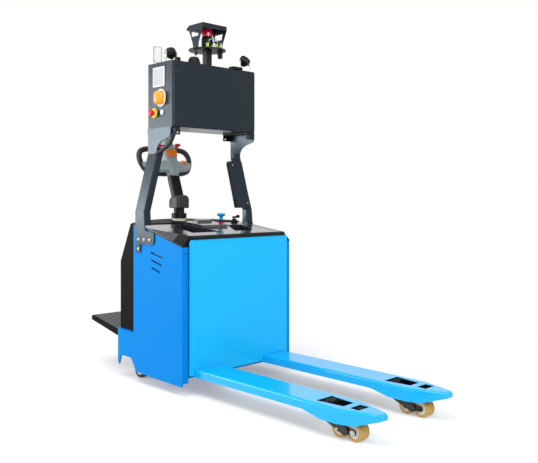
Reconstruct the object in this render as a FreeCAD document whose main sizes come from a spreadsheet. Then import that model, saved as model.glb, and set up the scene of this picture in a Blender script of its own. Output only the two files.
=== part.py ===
import FreeCAD, Part
import Sketcher
import math
import os

# An autonomous ride-on pallet truck.  +X runs along the forks to their tips, +Y to the truck's left
# as seen from the forks, +Z up.  The origin is on the floor, on the truck's middle plane, under the
# front face of the load plate.  Lengths are in millimetres, angles in degrees.

os.makedirs("parts", exist_ok=True)
doc = FreeCAD.newDocument("pallet_truck")
sheet = doc.addObject("Spreadsheet::Sheet", "sizes")
NODES = []


class Size:
    """A number together with the formula that gives it from the sheet."""

    def __init__(self, value, text=None):
        self.value = float(value)
        self.text = text or ("%g" % value if value >= 0 else "(0 - %g)" % -value)

    def join(self, sign, other, value, turned=False):
        other = size(other)
        left, right = (other, self) if turned else (self, other)
        return Size(value(left.value, right.value), "(%s %s %s)" % (left.text, sign, right.text))

    def __add__(self, other):
        return self.join("+", other, lambda a, b: a + b)

    def __radd__(self, other):
        return self.join("+", other, lambda a, b: a + b, True)

    def __sub__(self, other):
        return self.join("-", other, lambda a, b: a - b)

    def __rsub__(self, other):
        return self.join("-", other, lambda a, b: a - b, True)

    def __mul__(self, other):
        return self.join("*", other, lambda a, b: a * b)

    __rmul__ = __mul__

    def __truediv__(self, other):
        return self.join("/", other, lambda a, b: a / b)

    def __neg__(self):
        return 0 - self


def size(number):
    return number if isinstance(number, Size) else Size(number)


def sine(angle):
    return Size(math.sin(math.radians(angle.value)), "sin(%s * 1deg)" % angle.text)


def cosine(angle):
    return Size(math.cos(math.radians(angle.value)), "cos(%s * 1deg)" % angle.text)


row = 0


def cell(alias, value):
    """Writes one driving size to the sheet and returns it."""
    global row
    row += 1
    sheet.set("A%d" % row, alias)
    sheet.set("B%d" % row, "%g" % value)
    sheet.setAlias("B%d" % row, alias)
    return Size(value, "sizes.%s" % alias)


def bind(thing, name, number):
    thing.setExpression(name, size(number).text)


def place(thing, x=0, y=0, z=0):
    for name, number in (("x", x), ("y", y), ("z", z)):
        bind(thing, "Placement.Base." + name, number)


def turn(thing, axis, angle):
    """Turns a piece about its own origin by an angle taken from the sheet."""
    thing.Placement = FreeCAD.Placement(thing.Placement.Base, FreeCAD.Rotation(axis, size(angle).value))
    bind(thing, "Placement.Rotation.Angle", angle)


X, Y, Z = FreeCAD.Vector(1, 0, 0), FreeCAD.Vector(0, 1, 0), FreeCAD.Vector(0, 0, 1)
SIDES = {"x": ("YZ_Plane", 1), "y": ("XZ_Plane", -1), "z": ("XY_Plane", 1)}
LYING = {"x": FreeCAD.Rotation(Y, 90), "y": FreeCAD.Rotation(X, -90), "z": FreeCAD.Rotation()}


def node(thing, label):
    """Names a finished sub-part; its label is its file's name."""
    thing.Label = label
    NODES.append(thing)
    return thing


def new_body(name):
    return doc.addObject("PartDesign::Body", name)


def outline(body, axis, level, points):
    """A closed outline at a level along an axis, each corner tied to the sheet.

    A corner with a third number starts an arc that bulges by that much to the right of its way.
    """
    plane, way = SIDES[axis]
    sketch = body.newObject("Sketcher::SketchObject", "outline")
    origin = [item for item in body.Origin.OriginFeatures if item.Role == plane][0]
    sketch.AttachmentSupport = [(origin, "")]
    sketch.MapMode = "FlatFace"
    bind(sketch, "AttachmentOffset.Base.z", size(level) * way)
    corners = [(size(point[0]), size(point[1])) for point in points]
    spots = [FreeCAD.Vector(u.value, v.value, 0) for u, v in corners]
    count = len(spots)
    heads, tails = [], []
    for i in range(count):
        first, last = spots[i], spots[(i + 1) % count]
        if len(points[i]) < 3:
            sketch.addGeometry(Part.LineSegment(first, last), False)
            turned_back = False
        else:
            normal = FreeCAD.Vector(last.y - first.y, first.x - last.x, 0).normalize()
            middle = (first + last) / 2 + normal * size(points[i][2]).value
            sketch.addGeometry(Part.Arc(first, middle, last), False)
            turned_back = size(points[i][2]).value < 0
        heads.append(2 if turned_back else 1)
        tails.append(1 if turned_back else 2)
    for i in range(count):
        j = (i + 1) % count
        sketch.addConstraint(Sketcher.Constraint("Coincident", i, tails[i], j, heads[j]))
    for i, (u, v) in enumerate(corners):
        for kind, number in (("DistanceX", u), ("DistanceY", v)):
            index = sketch.addConstraint(Sketcher.Constraint(kind, -1, 1, i, heads[i], number.value))
            bind(sketch, "Constraints[%d]" % index, number)
        if len(points[i]) == 3:
            over, up = (corners[(i + 1) % count][axis_number] - corners[i][axis_number] for axis_number in (0, 1))
            rise = size(points[i][2])
            radius = ((over * over + up * up) / 4 + rise * rise) / (rise * 2)
            if rise.value < 0:
                radius = -radius
            index = sketch.addConstraint(Sketcher.Constraint("Radius", i, radius.value))
            bind(sketch, "Constraints[%d]" % index, radius)
    return sketch


def pad(body, axis, low, high, points, rounds=()):
    """Adds a straight prism between two levels; rounds lists (corner numbers, radius)."""
    low, high = size(low), size(high)
    sketch = outline(body, axis, high if axis == "y" else low, points)
    solid = body.newObject("PartDesign::Pad", "pad")
    solid.Profile = sketch
    bind(solid, "Length", high - low)
    body.Tip = solid
    doc.recompute()
    for corners, radius in rounds:
        wanted = [(size(points[i][0]).value, size(points[i][1]).value) for i in corners]
        round_edges(body, axis, wanted, radius)
    return body


def across(axis, point):
    """The two coordinates of a point in the plane across an axis."""
    return {"x": (point.y, point.z), "y": (point.x, point.z), "z": (point.x, point.y)}[axis]


def round_edges(body, axis, wanted, radius, kind="Fillet"):
    """Rounds the edges that run along an axis through the wanted places."""
    names = []
    for number, edge in enumerate(body.Tip.Shape.Edges, 1):
        first, last = edge.Vertexes[0].Point, edge.Vertexes[-1].Point
        a, b = across(axis, first), across(axis, last)
        if math.dist(a, b) > 1e-4 or (first - last).Length < 1e-4:
            continue
        if any(math.dist(a, spot) < 1e-3 for spot in wanted):
            names.append("Edge%d" % number)
    dress(body, names, radius, kind)


def dress(body, names, radius, kind="Fillet"):
    base = body.Tip
    feature = body.newObject("PartDesign::" + kind, kind.lower())
    feature.Base = (base, names)
    bind(feature, "Radius" if kind == "Fillet" else "Size", radius)
    body.Tip = feature
    doc.recompute()


def face_edges(body, axis, level, inner=False):
    """The names of the edges that lie in a plane across an axis."""
    names = []
    for number, edge in enumerate(body.Tip.Shape.Edges, 1):
        box = edge.BoundBox
        low, high = {"x": (box.XMin, box.XMax), "y": (box.YMin, box.YMax), "z": (box.ZMin, box.ZMax)}[axis]
        if abs(low - size(level).value) < 1e-3 and abs(high - size(level).value) < 1e-3:
            names.append("Edge%d" % number)
    return names


def pocket(body, axis, low, high, points):
    """Cuts a straight-sided hole between two levels and checks that it took material away."""
    low, high = size(low), size(high)
    before = body.Tip.Shape.Volume
    sketch = outline(body, axis, low if axis == "y" else high, points)
    hole = body.newObject("PartDesign::Pocket", "pocket")
    hole.Profile = sketch
    bind(hole, "Length", high - low)
    body.Tip = hole
    doc.recompute()
    if not hole.Shape.Volume < before - 1e-3:
        raise RuntimeError("a pocket in %s cuts nothing" % body.Label)
    return body


def slab(label, axis, low, high, points, rounds=()):
    return node(pad(new_body(label), axis, low, high, points, rounds), label)


def oblong(u0, u1, v0, v1):
    return [(u0, v0), (u1, v0), (u1, v1), (u0, v1)]


def block(name, x0, x1, y0, y1, z0, z1):
    """A plain box between six planes."""
    box = doc.addObject("Part::Box", name)
    for side, low, high in (("Length", x0, x1), ("Width", y0, y1), ("Height", z0, z1)):
        bind(box, side, size(high) - low)
    place(box, x0, y0, z0)
    return box


def rod(name, axis, spot, low, high, radius):
    """A round bar along an axis; spot is its place across that axis."""
    bar = doc.addObject("Part::Cylinder", name)
    bar.Placement = FreeCAD.Placement(FreeCAD.Vector(), LYING[axis])
    bind(bar, "Radius", radius)
    bind(bar, "Height", size(high) - low)
    u, v = spot
    base = {"x": (low, u, v), "y": (u, low, v), "z": (u, v, low)}[axis]
    place(bar, *base)
    return bar


def joined(name, pieces, refine=True):
    thing = doc.addObject("Part::MultiFuse", name)
    thing.Shapes = pieces
    thing.Refine = refine
    return thing


def group(name, pieces):
    """Separate solids that are kept together as one sub-part."""
    thing = doc.addObject("Part::Compound", name)
    thing.Links = pieces
    return thing


def less(name, base, tools):
    thing = doc.addObject("Part::Cut", name)
    thing.Base = base
    thing.Tool = tools[0] if len(tools) == 1 else joined(name + "_tools", tools)
    return thing


def shared(name, pieces):
    thing = doc.addObject("Part::MultiCommon", name)
    thing.Shapes = pieces
    return thing


def mirrored(name, source):
    """The same piece on the other side of the truck's middle plane."""
    thing = doc.addObject("Part::Mirroring", name)
    thing.Source = source
    thing.Normal = Y
    return thing


def turned(name, axis, profile, x=0, y=0, z=0, flip=False):
    """A piece of revolution: profile is (radius, height) pairs from the bottom of its axis up."""
    body = new_body(name)
    sketch = outline(body, "y", 0, profile)
    spin = body.newObject("PartDesign::Revolution", "spin")
    spin.Profile = sketch
    spin.ReferenceAxis = (sketch, ["V_Axis"])
    spin.Angle = 360
    body.Tip = spin
    rotation = LYING[axis]
    if flip:
        rotation = rotation.multiply(FreeCAD.Rotation(X, 180))
    body.Placement = FreeCAD.Placement(FreeCAD.Vector(), rotation)
    place(body, x, y, z)
    return body


# ---------------------------------------------------------------- driving sizes

# Forks and load wheels
fork_length = cell("fork_length", 1150)
fork_width = cell("fork_width", 170)
fork_spread = cell("fork_spread", 655)
fork_top = cell("fork_top", 141)
fork_depth = cell("fork_depth", 42)
fork_skin = cell("fork_skin", 8)
fork_edge = cell("fork_edge", 12)
skirt_depth = cell("skirt_depth", 64)
skirt_start = fork_length - cell("skirt_back", 390)
skirt_full = fork_length - cell("skirt_full_back", 285)
skirt_end = fork_length - cell("skirt_tip", 120)
tip_width = cell("tip_width", 64)
tip_start = fork_length - cell("tip_taper", 190)
tip_depth = cell("tip_depth", 26)
slot_start = fork_length - cell("slot_back", 334)
slot_end = slot_start + cell("slot_length", 141)
slot_wide = cell("slot_wide", 104)
slot_narrow = cell("slot_narrow", 72)
hatch_start = slot_end + cell("slot_bridge", 34)
hatch_end = hatch_start + cell("hatch_length", 50)
roller_radius = cell("roller_radius", 40)
roller_width = cell("roller_width", 58)
roller_pitch = cell("roller_pitch", 84)
arm_length = cell("arm_length", 170)
arm_plate = cell("arm_plate", 8)
pin_radius = cell("pin_radius", 9)
crank_length = cell("crank_length", 22)
crank_pin = cell("crank_pin", 4.5)
gap = cell("gap", 0.5)
running = cell("running", 0.05)

# Load plate, chassis and covers
plate_width = cell("plate_width", 701)
plate_skin = cell("plate_skin", 12)
plate_bottom = cell("plate_bottom", 106)
plate_top = cell("plate_top", 803)
trim_height = cell("trim_height", 19)
body_width = cell("body_width", 780)
body_skin = cell("body_skin", 8)
front_face = cell("front_face", 20)
flange_bottom = cell("flange_bottom", 68)
body_bottom = cell("body_bottom", 53)
body_rear = cell("body_rear", 618)
cover_start = cell("cover_start", 460)
cover_bottom = cell("cover_bottom", 284)
cover_middle_rear = body_rear + cell("cover_bulge", 22)
cover_side_rear = cover_middle_rear - cell("cover_round", 50)
cover_bend = cell("cover_bend", 661)
arch_top = cell("arch_top", 131)
arch_front = cell("arch_front", 486)
arch_rear = cell("arch_rear", 584)
deck_front = cell("deck_front", 822)
deck_rise = cell("deck_rise", 0.1)
deck_depth = cell("deck_depth", 60)
side_top_front = cell("side_top_front", 774)
facet_end = cell("facet_end", 330)
facet_width = cell("facet_width", 52)
band = cell("band", 9)

# Gantry legs and control box
leg_bend_low = cell("leg_bend_low", 942)
leg_skin = cell("leg_skin", 8)
leg_flange = cell("leg_flange", 46)
box_front = cell("box_front", 215)
box_depth = cell("box_depth", 240)
box_width = cell("box_width", 600)
box_bottom = cell("box_bottom", 1402)
leg_bend_high = box_bottom - cell("leg_upright", 140)
box_height = cell("box_height", 360)

# Tiller and steering
steer_x = cell("steer_x", 564)
tiller_pivot = cell("tiller_pivot", 985)
tiller_lean = cell("tiller_lean", 20)
drive_radius = cell("drive_radius", 115)
drive_width = cell("drive_width", 75)
caster_x = cell("caster_x", 520)
caster_y = body_width / 2 - cell("caster_inset", 98)
caster_radius = cell("caster_radius", 50)
caster_width = cell("caster_width", 40)
caster_trail = cell("caster_trail", 32)

# Rider platform
step_hinge_x = body_rear + cell("step_hinge_back", 34)
step_hinge_z = cell("step_hinge_z", 246)
step_width = cell("step_width", 690)
step_length = cell("step_length", 352)
step_tilt = cell("step_tilt", 10)

half = body_width / 2
fork_mid = (fork_spread - fork_width) / 2
fork_under = fork_top - fork_depth
skirt_under = fork_top - skirt_depth


def deck_level(back):
    """The height of the deck's sloping top at a distance behind the front face."""
    return deck_front + deck_rise * back


# ---------------------------------------------------------------- forks

def fork(label, side):
    """One pressed fork: a channel open below, deeper round the load wheels and narrowed to its tip."""
    middle = fork_mid * side
    wide, slim = fork_width / 2, tip_width / 2
    plan = [(0, middle - wide), (tip_start, middle - wide), (fork_length - 16, middle - slim),
            (fork_length, middle - slim + 14), (fork_length, middle + slim - 14), (fork_length - 16, middle + slim),
            (tip_start, middle + wide), (0, middle + wide)]
    body = pad(new_body(label), "z", skirt_under, fork_top, plan, [((2, 5), 14)])
    top = face_edges(body, "z", fork_top)
    dress(body, top, fork_edge)
    under = [(-1, skirt_under - 1), (-1, fork_under), (skirt_start, fork_under),
             (skirt_full, skirt_under), (skirt_end, skirt_under), (fork_length + 1, fork_top - tip_depth),
             (fork_length + 1, skirt_under - 1)]
    pocket(body, "y", middle - wide - 1, middle + wide + 1, under)
    inner = wide - fork_skin
    hollow = [(plate_skin, middle - inner), (tip_start, middle - inner), (fork_length - 70, middle - slim + 6),
              (fork_length - 70, middle + slim - 6), (tip_start, middle + inner), (plate_skin, middle + inner)]
    pocket(body, "z", skirt_under - 1, fork_top - fork_skin, hollow)
    for start, end, first, last in ((slot_start, slot_end, slot_wide, slot_narrow),
                                    (hatch_start, hatch_end, slot_narrow, slot_narrow)):
        pocket(body, "z", fork_under, fork_top + 1,
               [(start, middle - first / 2), (end, middle - last / 2), (end, middle + last / 2),
                (start, middle + first / 2)])
    return body


# The arm's pivot in the fork, and how far the wheel truck hangs below and ahead of it at rest
pivot_z = fork_top - 40
axle_z = roller_radius
drop = pivot_z - axle_z
arm_angle = Size(math.degrees(math.asin(drop.value / arm_length.value)),
                 "asin(%s / %s) / 1deg" % (drop.text, arm_length.text))
reach = arm_length * cosine(arm_angle)
pivot_x = slot_start - cell("pivot_set_back", 8)
truck_x = pivot_x + reach
arm_half = roller_width / 2 + 6 + arm_plate


def load_wheels(name, side):
    """Pins, arm, wheel truck, rollers and push rod of one fork."""
    middle = fork_mid * side
    inner = fork_width / 2 - fork_skin

    plates = []
    for way in (-1, 1):
        level = middle + (arm_half - arm_plate / 2) * way
        low, high = level - arm_plate / 2, level + arm_plate / 2
        eye = rod("eye", "y", (pivot_x, pivot_z), low, high, pin_radius + 10)
        foot = rod("foot", "y", (truck_x, axle_z), low, high, pin_radius + 10)
        web = pad(new_body("web"), "y", low, high,
                  [(pivot_x + 4, pivot_z + 18), (truck_x + 12, axle_z + 15), (truck_x - 6, axle_z - 18),
                   (pivot_x - 12, pivot_z - 15)])
        plates += [eye, foot, web]
    bridge = pad(new_body("bridge"), "y", middle - arm_half + arm_plate, middle + arm_half - arm_plate,
                 [(pivot_x + 20, pivot_z - 2), (pivot_x + 44, pivot_z - 11), (pivot_x + 40, pivot_z - 21),
                  (pivot_x + 16, pivot_z - 12)])
    # Two lugs on the bridge hold the crank pin that the push rod works
    crank_z = pivot_z + crank_length
    for way in (-1, 1):
        low, high = sorted((middle + 8 * way, middle + 14 * way), key=lambda edge: edge.value)
        plates += [rod("lug", "y", (pivot_x, crank_z), low, high, crank_pin + 4),
                   pad(new_body("lug_web"), "y", low, high,
                       [(pivot_x + 6, crank_z + 5), (pivot_x + 38, pivot_z - 12), (pivot_x + 20, pivot_z - 11),
                        (pivot_x + 13, pivot_z + 2), (pivot_x - 3, crank_z - 7)])]
    plates.append(rod("crank_pin", "y", (pivot_x, crank_z), middle - 14, middle + 14, crank_pin))
    solid = joined("arm_solid", plates + [bridge])
    hole = rod("hole", "y", (pivot_x, pivot_z), middle - inner, middle + inner, pin_radius + running)
    lower = rod("hole", "y", (truck_x, axle_z), middle - inner, middle + inner, pin_radius + running)
    pivot = rod("pivot_pin", "y", (pivot_x, pivot_z), middle - inner, middle + inner, pin_radius)
    arm = less("arm", solid, [hole, lower])
    node(arm, name + "_wheel_arm")

    # The push rod: a round bar with a flat eye, slotted upright so that it can run straight
    slot = crank_pin + 0.6
    eye = pad(new_body("eye"), "y", middle - 6, middle + 6,
              [(pivot_x - 60, crank_z - 9), (pivot_x, crank_z - 9), (pivot_x + 9, crank_z - 5),
               (pivot_x + 9, crank_z + 5), (pivot_x, crank_z + 8), (pivot_x - 60, crank_z + 8)])
    opening = block("opening", pivot_x - slot, pivot_x + slot, middle - 7, middle + 7, crank_z - 7.2, crank_z + 5.2)
    bar = rod("bar", "x", (middle, crank_z - 1), plate_skin + 20, pivot_x - 50, 7)
    node(less(name + "_push_rod", joined("rod_solid", [bar, eye]), [opening]), name + "_push_rod")

    # The truck: two side links that carry a roller at each end and turn on the arm's lower pin
    links, pins = [], []
    inset = arm_half - arm_plate - gap
    for way in (-1, 1):
        outer = middle + inset * way
        low, high = (outer - 5, outer) if way > 0 else (outer, outer + 5)
        links.append(pad(new_body("link"), "y", low, high,
                         [(truck_x - roller_pitch / 2, axle_z - 13), (truck_x + roller_pitch / 2, axle_z - 13),
                          (truck_x + roller_pitch / 2, axle_z + 13), (truck_x - roller_pitch / 2, axle_z + 13)]))
        for end in (-1, 1):
            links.append(rod("boss", "y", (truck_x + roller_pitch / 2 * end, axle_z), low, high, 13))
    frame = less("truck_frame", joined("links", links),
                 [rod("hole", "y", (truck_x + roller_pitch / 2 * end, axle_z), middle - inner, middle + inner,
                      pin_radius - 3) for end in (-1, 1)])
    stubs = [rod("stub", "y", (truck_x, axle_z), *sorted((middle + (inset - 5) * way, middle + arm_half * way),
                                                         key=lambda edge: edge.value), pin_radius)
             for way in (-1, 1)]
    axles = [rod("axle", "y", (truck_x + roller_pitch / 2 * end, axle_z), middle - inset, middle + inset,
                 pin_radius - 3) for end in (-1, 1)]
    node(group(name + "_wheel_truck", [joined("truck", [frame] + stubs)] + axles), name + "_wheel_truck")

    for end, place_name in ((-1, "rear"), (1, "front")):
        centre = (truck_x + roller_pitch / 2 * end, axle_z)
        low, high = middle - roller_width / 2, middle + roller_width / 2
        hub = rod("hub", "y", centre, low + 1, high - 1, roller_radius - 13)
        bore = rod("bore", "y", centre, low - 1, high + 1, pin_radius - 3 + running)
        tread = rod("tread", "y", centre, low, high, roller_radius)
        core = rod("core", "y", centre, low - 1, high + 1, roller_radius - 13)
        label = "%s_%s_roller" % (name, place_name)
        node(group(label, [less("hub", hub, [bore]), less("tread", tread, [core])]), label)
    return pivot


fork_pins = []
for label, side in (("right", -1), ("left", 1)):
    node(fork(label + "_fork", side), label + "_fork")
    fork_pins.append(load_wheels(label, side))
node(group("fork_pins", fork_pins), "pivot_pins")

# ---------------------------------------------------------------- load plate

plate = new_body("plate_body")
wing = plate_width / 2
pad(plate, "x", -plate_skin, 0, oblong(-wing, wing, plate_bottom, plate_top), [((2, 3), 22)])
slab("plate_trim", "x", -plate_skin, 4, oblong(22 - wing, wing - 22, plate_top, plate_top + trim_height),
     [((2, 3), 8)])
shoe_half = cell("shoe_half", 18)
shoes = []
for side in (-1, 1):
    for low in (150, 560):
        shoe_y = fork_mid * side - 2.5 * side
        shoes.append(block("shoe", -front_face - 26, -plate_skin, shoe_y - shoe_half, shoe_y + shoe_half, low,
                           low + 90))
node(group("carriage", [plate] + shoes), "load_plate")

# ---------------------------------------------------------------- chassis

side_line = [(-front_face, body_bottom), (156 - arch_front, body_bottom + 4), (51 - arch_front, body_bottom + 11),
             (-arch_front, arch_top - 1), (-arch_rear, arch_top), (13 - body_rear, body_bottom + 24),
             (-body_rear, body_bottom + 37), (-body_rear, cover_bottom - 8), (-cover_start, cover_bottom - 8),
             (-cover_start, deck_level(cover_start) - band), (-facet_end, deck_level(facet_end) - band),
             (-front_face, side_top_front - band)]


def side_plate(side):
    low = half * side if side < 0 else half - body_skin
    body = pad(new_body("side"), "y", low, low + body_skin, side_line, [((3, 4), 16)])
    # Three slanting louvres behind the front edge
    for step in range(3):
        x, z = -front_face - 276 + 4 * step, side_top_front - 44 - 40 * step
        length = 110 - 16 * step
        pocket(body, "y", low - 1, low + body_skin + 1,
               [(x, z), (x + length, z - 22), (x + length, z - 32), (x, z - 10)])
    return body


front_strips = []
for side in (-1, 1):
    edge, inner = (half - body_skin) * side, (half - 42) * side
    low, high = (edge, inner) if side < 0 else (inner, edge)
    front_strips.append(pad(new_body("strip"), "x", -front_face - body_skin, -front_face,
                            oblong(low, high, flange_bottom, side_top_front - band)))
ledge = half - body_skin
bulkhead = block("bulkhead", -front_face - 70, -front_face - 62, -ledge, ledge, body_bottom + 20,
                 deck_front - deck_depth)
shelf = block("shelf", -body_rear, -cover_start, -ledge, ledge, cover_bottom - 8, cover_bottom)
swivel_x = caster_x - caster_trail
drive_bay = cell("drive_bay", 130)
rear_walls = [block("rear_wall", -body_rear, -body_rear + body_skin, low, high, 150, cover_bottom - 8)
              for low, high in ((-ledge, -drive_bay), (drive_bay, ledge))]
brackets = [block("bracket", -swivel_x - 45, -swivel_x + 45, caster_y * side - 45, caster_y * side + 45, 158,
                  cover_bottom - 8) for side in (-1, 1)]
stem_holes = [rod("stem_hole", "z", (-swivel_x, caster_y * side), 150, 200, 12 + running) for side in (-1, 1)]
stem_holes.append(rod("column_hole", "z", (-steer_x, 0), cover_bottom - 20, cover_bottom + 5, 30))
step_pin = cell("step_pin", 6)
eyes = []
for side in (-1, 1):
    for inner_edge in (232, 286):
        low, high = sorted((size(inner_edge) * side, size(inner_edge + 14) * side), key=lambda edge: edge.value)
        eyes.append(pad(new_body("eye"), "y", low, high,
                        [(-body_rear, step_hinge_z - 30), (-step_hinge_x - 8, step_hinge_z - 12),
                         (-step_hinge_x - 12, step_hinge_z), (-step_hinge_x - 6, step_hinge_z + 11),
                         (-body_rear, step_hinge_z + 20)]))
    eyes.append(rod("hinge_pin", "y", (-step_hinge_x, step_hinge_z),
                    *sorted((size(232) * side, size(300) * side), key=lambda edge: edge.value), step_pin))
floor = block("floor", -arch_front + 60, -front_face - 70, -ledge, ledge, 150, 158)
slots = [block("slot", -front_face - 4, -front_face + 1, (half - 42) * side - 1, (half - 6) * side,
               728, 734) if side > 0 else
         block("slot", -front_face - 4, -front_face + 1, -half + 6, -half + 43, 728, 734) for side in (-1, 1)]
sheets = [side_plate(-1), side_plate(1), bulkhead, floor] + rear_walls
sheets.append(less("shelf_sheet", shelf, stem_holes[2:]))
sheets += [less("bracket_block", bracket, [hole]) for bracket, hole in zip(brackets, stem_holes)]
sheets += [less("strip_sheet", strip, [slot]) for strip, slot in zip(front_strips, slots)]
sheets += [joined("hinge_eyes", eyes[:3]), joined("hinge_eyes", eyes[3:])]
rails = []
for side in (-1, 1):
    for way in (-1, 1):
        rail_y = fork_mid * side - 2.5 * side + (shoe_half + 4.5) * way
        rails.append(block("rail", -front_face - 62, -front_face - 22, rail_y - 4, rail_y + 4, body_bottom + 37,
                           deck_front - deck_depth - 4))
node(group("frame", sheets + rails), "chassis_shell")


# ---------------------------------------------------------------- covers

def slope_slab(name, front, rear, down, up, width=half):
    """A slab that follows the deck's slope between two depths below its top."""
    return pad(new_body(name), "y", -width, width,
               [(-front, deck_level(front) - down), (-front, deck_level(front) + up),
                (-rear, deck_level(rear) + up), (-rear, deck_level(rear) - down)])


def corner_facet(side):
    """Everything outside the slanting facet that takes off a front corner of the deck."""
    inner = FreeCAD.Vector(-front_face.value, (half - facet_width).value * side, deck_level(front_face).value)
    back = FreeCAD.Vector(-facet_end.value, half.value * side, deck_level(facet_end).value)
    low = FreeCAD.Vector(-front_face.value, half.value * side, side_top_front.value)
    along = (back - inner).normalize()
    normal = along.cross(low - inner).normalize()
    if normal.z < 0:
        normal = -normal
    cross = normal.cross(along)
    thing = doc.addObject("Part::Feature", "facet")
    thing.Shape = Part.makeBox(900, 600, 200, FreeCAD.Vector(-300, -300, 0))
    thing.Placement = FreeCAD.Placement(FreeCAD.Matrix(along.x, cross.x, normal.x, inner.x,
                                                       along.y, cross.y, normal.y, inner.y,
                                                       along.z, cross.z, normal.z, inner.z))
    return thing


cover = new_body("rear_cover_body")
lower_plan = [(-cover_start, -half), (-cover_side_rear, -half, -(cover_middle_rear - cover_side_rear)),
              (-cover_side_rear, half), (-cover_start, half)]
upper_rear = cover_start + cell("shoulder", 14)
pad(cover, "z", cover_bottom, cover_bend, lower_plan)
upper_plan = [(-cover_start, -half), (-upper_rear, -half, -(cover_middle_rear - upper_rear)),
              (-upper_rear, half), (-cover_start, half)]
first = outline(cover, "z", cover_bend, lower_plan)
second = outline(cover, "z", deck_level(cover_middle_rear) + 20, upper_plan)
slant = cover.newObject("PartDesign::AdditiveLoft", "slant")
slant.Profile = first
slant.Sections = [second]
slant.Ruled = True
cover.Tip = slant
doc.recompute()
column_top = cell("column_top", 895)
column_hole = rod("column_hole", "z", (-steer_x, 0), cover_bottom - 5, column_top + 10, 36)
ring_seat = rod("ring_seat", "z", (-steer_x, 0), column_top - 20, column_top + 10, 40)
node(less("cover_shell", cover, [slope_slab("over", 440, 700, -4, 60), column_hole, ring_seat]), "rear_cover")

facets = [corner_facet(-1), corner_facet(1)]
side_under = []
side_bands = []
for side in (-1, 1):
    low, high = (-half - 1, -half + 50) if side < 0 else (half - 50, half + 1)
    side_under.append(pad(new_body("under"), "y", low, high,
                          [(-front_face + 1, 600), (-front_face + 1, side_top_front),
                           (-facet_end, deck_level(facet_end) - 3),
                           (-cover_start, deck_level(cover_start) - 3), (-cover_start, 600)]))
    low, high = (-half, -half + 50) if side < 0 else (half - 50, half)
    side_bands.append(pad(new_body("band"), "y", low, high,
                          [(-front_face, side_top_front - band), (-front_face, side_top_front),
                           (-facet_end, deck_level(facet_end) - 3), (-cover_start, deck_level(cover_start) - 3),
                           (-cover_start, deck_level(cover_start) - band),
                           (-facet_end, deck_level(facet_end) - band)]))

deck_solid = less("deck_solid", slope_slab("deck_slab", front_face, cover_start, deck_depth, 0),
                  facets + side_under)
caps = [block("cap", -98, -front_face, half - facet_width, half, 700, 900),
        block("cap", -98, -front_face, -half, facet_width - half, 700, 900)]
trims = side_bands + [shared("corner_caps", [deck_solid, joined("cap_zones", caps)])]


def well(label, points, depth):
    """A flat-bottomed recess in the deck, as a tool body."""
    return pad(new_body(label), "z", deck_front - depth + 18, 1000, points)


rear_lip = cover_start - 8
main_well = well("main_well", [(-108, 138 - half), (-108, -58), (-262, -58), (-262, -64), (-rear_lip, -64),
                               (-rear_lip, -108), (-320, 184 - half)], 34)
tray_well = well("tray_well", [(-335, half - 208), (-335, half - 98), (-112, half - 204), (-112, 52)], 40)
groove_zone = slope_slab("groove_zone", 50, rear_lip, 4, 60)
grooves = []
for inset in (88, 74):
    track = pad(new_body("track"), "z", deck_front - 20, deck_front + 90,
                [(-70, half - inset), (-70, half - inset + 5), (-410, half - inset + 39), (-410, half - inset + 34)])
    grooves.append(shared("groove", [track, groove_zone]))
knob_x, knob_y = cell("knob_x", 372), cell("knob_y", 168)
knob_z = deck_level(knob_x)
key_x, key_y = cell("key_x", 430), half - cell("key_inset", 68)
key_z = deck_level(key_x)
seats = [rod("socket_seat", "z", (-knob_x, knob_y), knob_z - 10, knob_z + 20, 20),
         rod("key_seat", "z", (-key_x, key_y), key_z - 2.5, key_z + 20, 22)]
node(less("deck", deck_solid, caps + [main_well, tray_well] + grooves + seats), "top_deck")

# The console lid turns on its rear edge; a soft pad lies on it
lid_rear = rear_lip
lid_front = lid_rear - cell("lid_length", 186)
lid_low = cell("lid_low", -60)
lid_high = cell("lid_high", 128)
lid_skin = cell("lid_skin", 14)
lid = pad(new_body("lid"), "y", lid_low, lid_high,
          [(-lid_front, deck_level(lid_front) + gap), (-lid_front, deck_level(lid_front) + lid_skin),
           (-lid_rear, deck_level(lid_rear) + lid_skin), (-lid_rear, deck_level(lid_rear) + gap)], [((1, 2), 5)])
pad_skin = cell("pad_skin", 13)
cushion = pad(new_body("cushion"), "y", lid_low + 62, lid_high - 16,
              [(64 - lid_rear, deck_level(lid_rear - 64) + lid_skin),
               (59 - lid_rear, deck_level(lid_rear - 64) + lid_skin + pad_skin),
               (12 - lid_rear, deck_level(lid_rear - 12) + lid_skin + pad_skin),
               (6 - lid_rear, deck_level(lid_rear - 6) + lid_skin)])
knuckle = rod("knuckle", "y", (-lid_rear, deck_level(lid_rear) + 5.5), lid_low + 6, lid_high - 6, 4.5)
node(group("lid_set", [joined("lid_and_knuckle", [lid, knuckle]), cushion]), "console_lid")


def knob(label, x, y, z, profile, axis="z", flip=False):
    return node(turned(label, axis, profile, x, y, z, flip), label)


# Battery disconnect: a red socket, a black gland and a blue mushroom knob that is pushed down
node(group("socket", [
    turned("red_ring", "z", [(9.5, 0), (20, 0), (20, 14), (17, 22), (9.5, 22)], -knob_x, knob_y, knob_z - 10),
    turned("gland", "z", [(9.5, 0), (15, 0), (15, 12), (13, 14), (9.5, 14)], -knob_x, knob_y, knob_z + 12)]),
    "disconnect_socket")
knob("disconnect_knob", -knob_x, knob_y, knob_z - 6,
     [(0, 0), (9, 0), (9, 34), (11, 38), (9.5, 50), (22, 56), (26, 62), (24, 68), (16, 72), (0, 73)])

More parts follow.
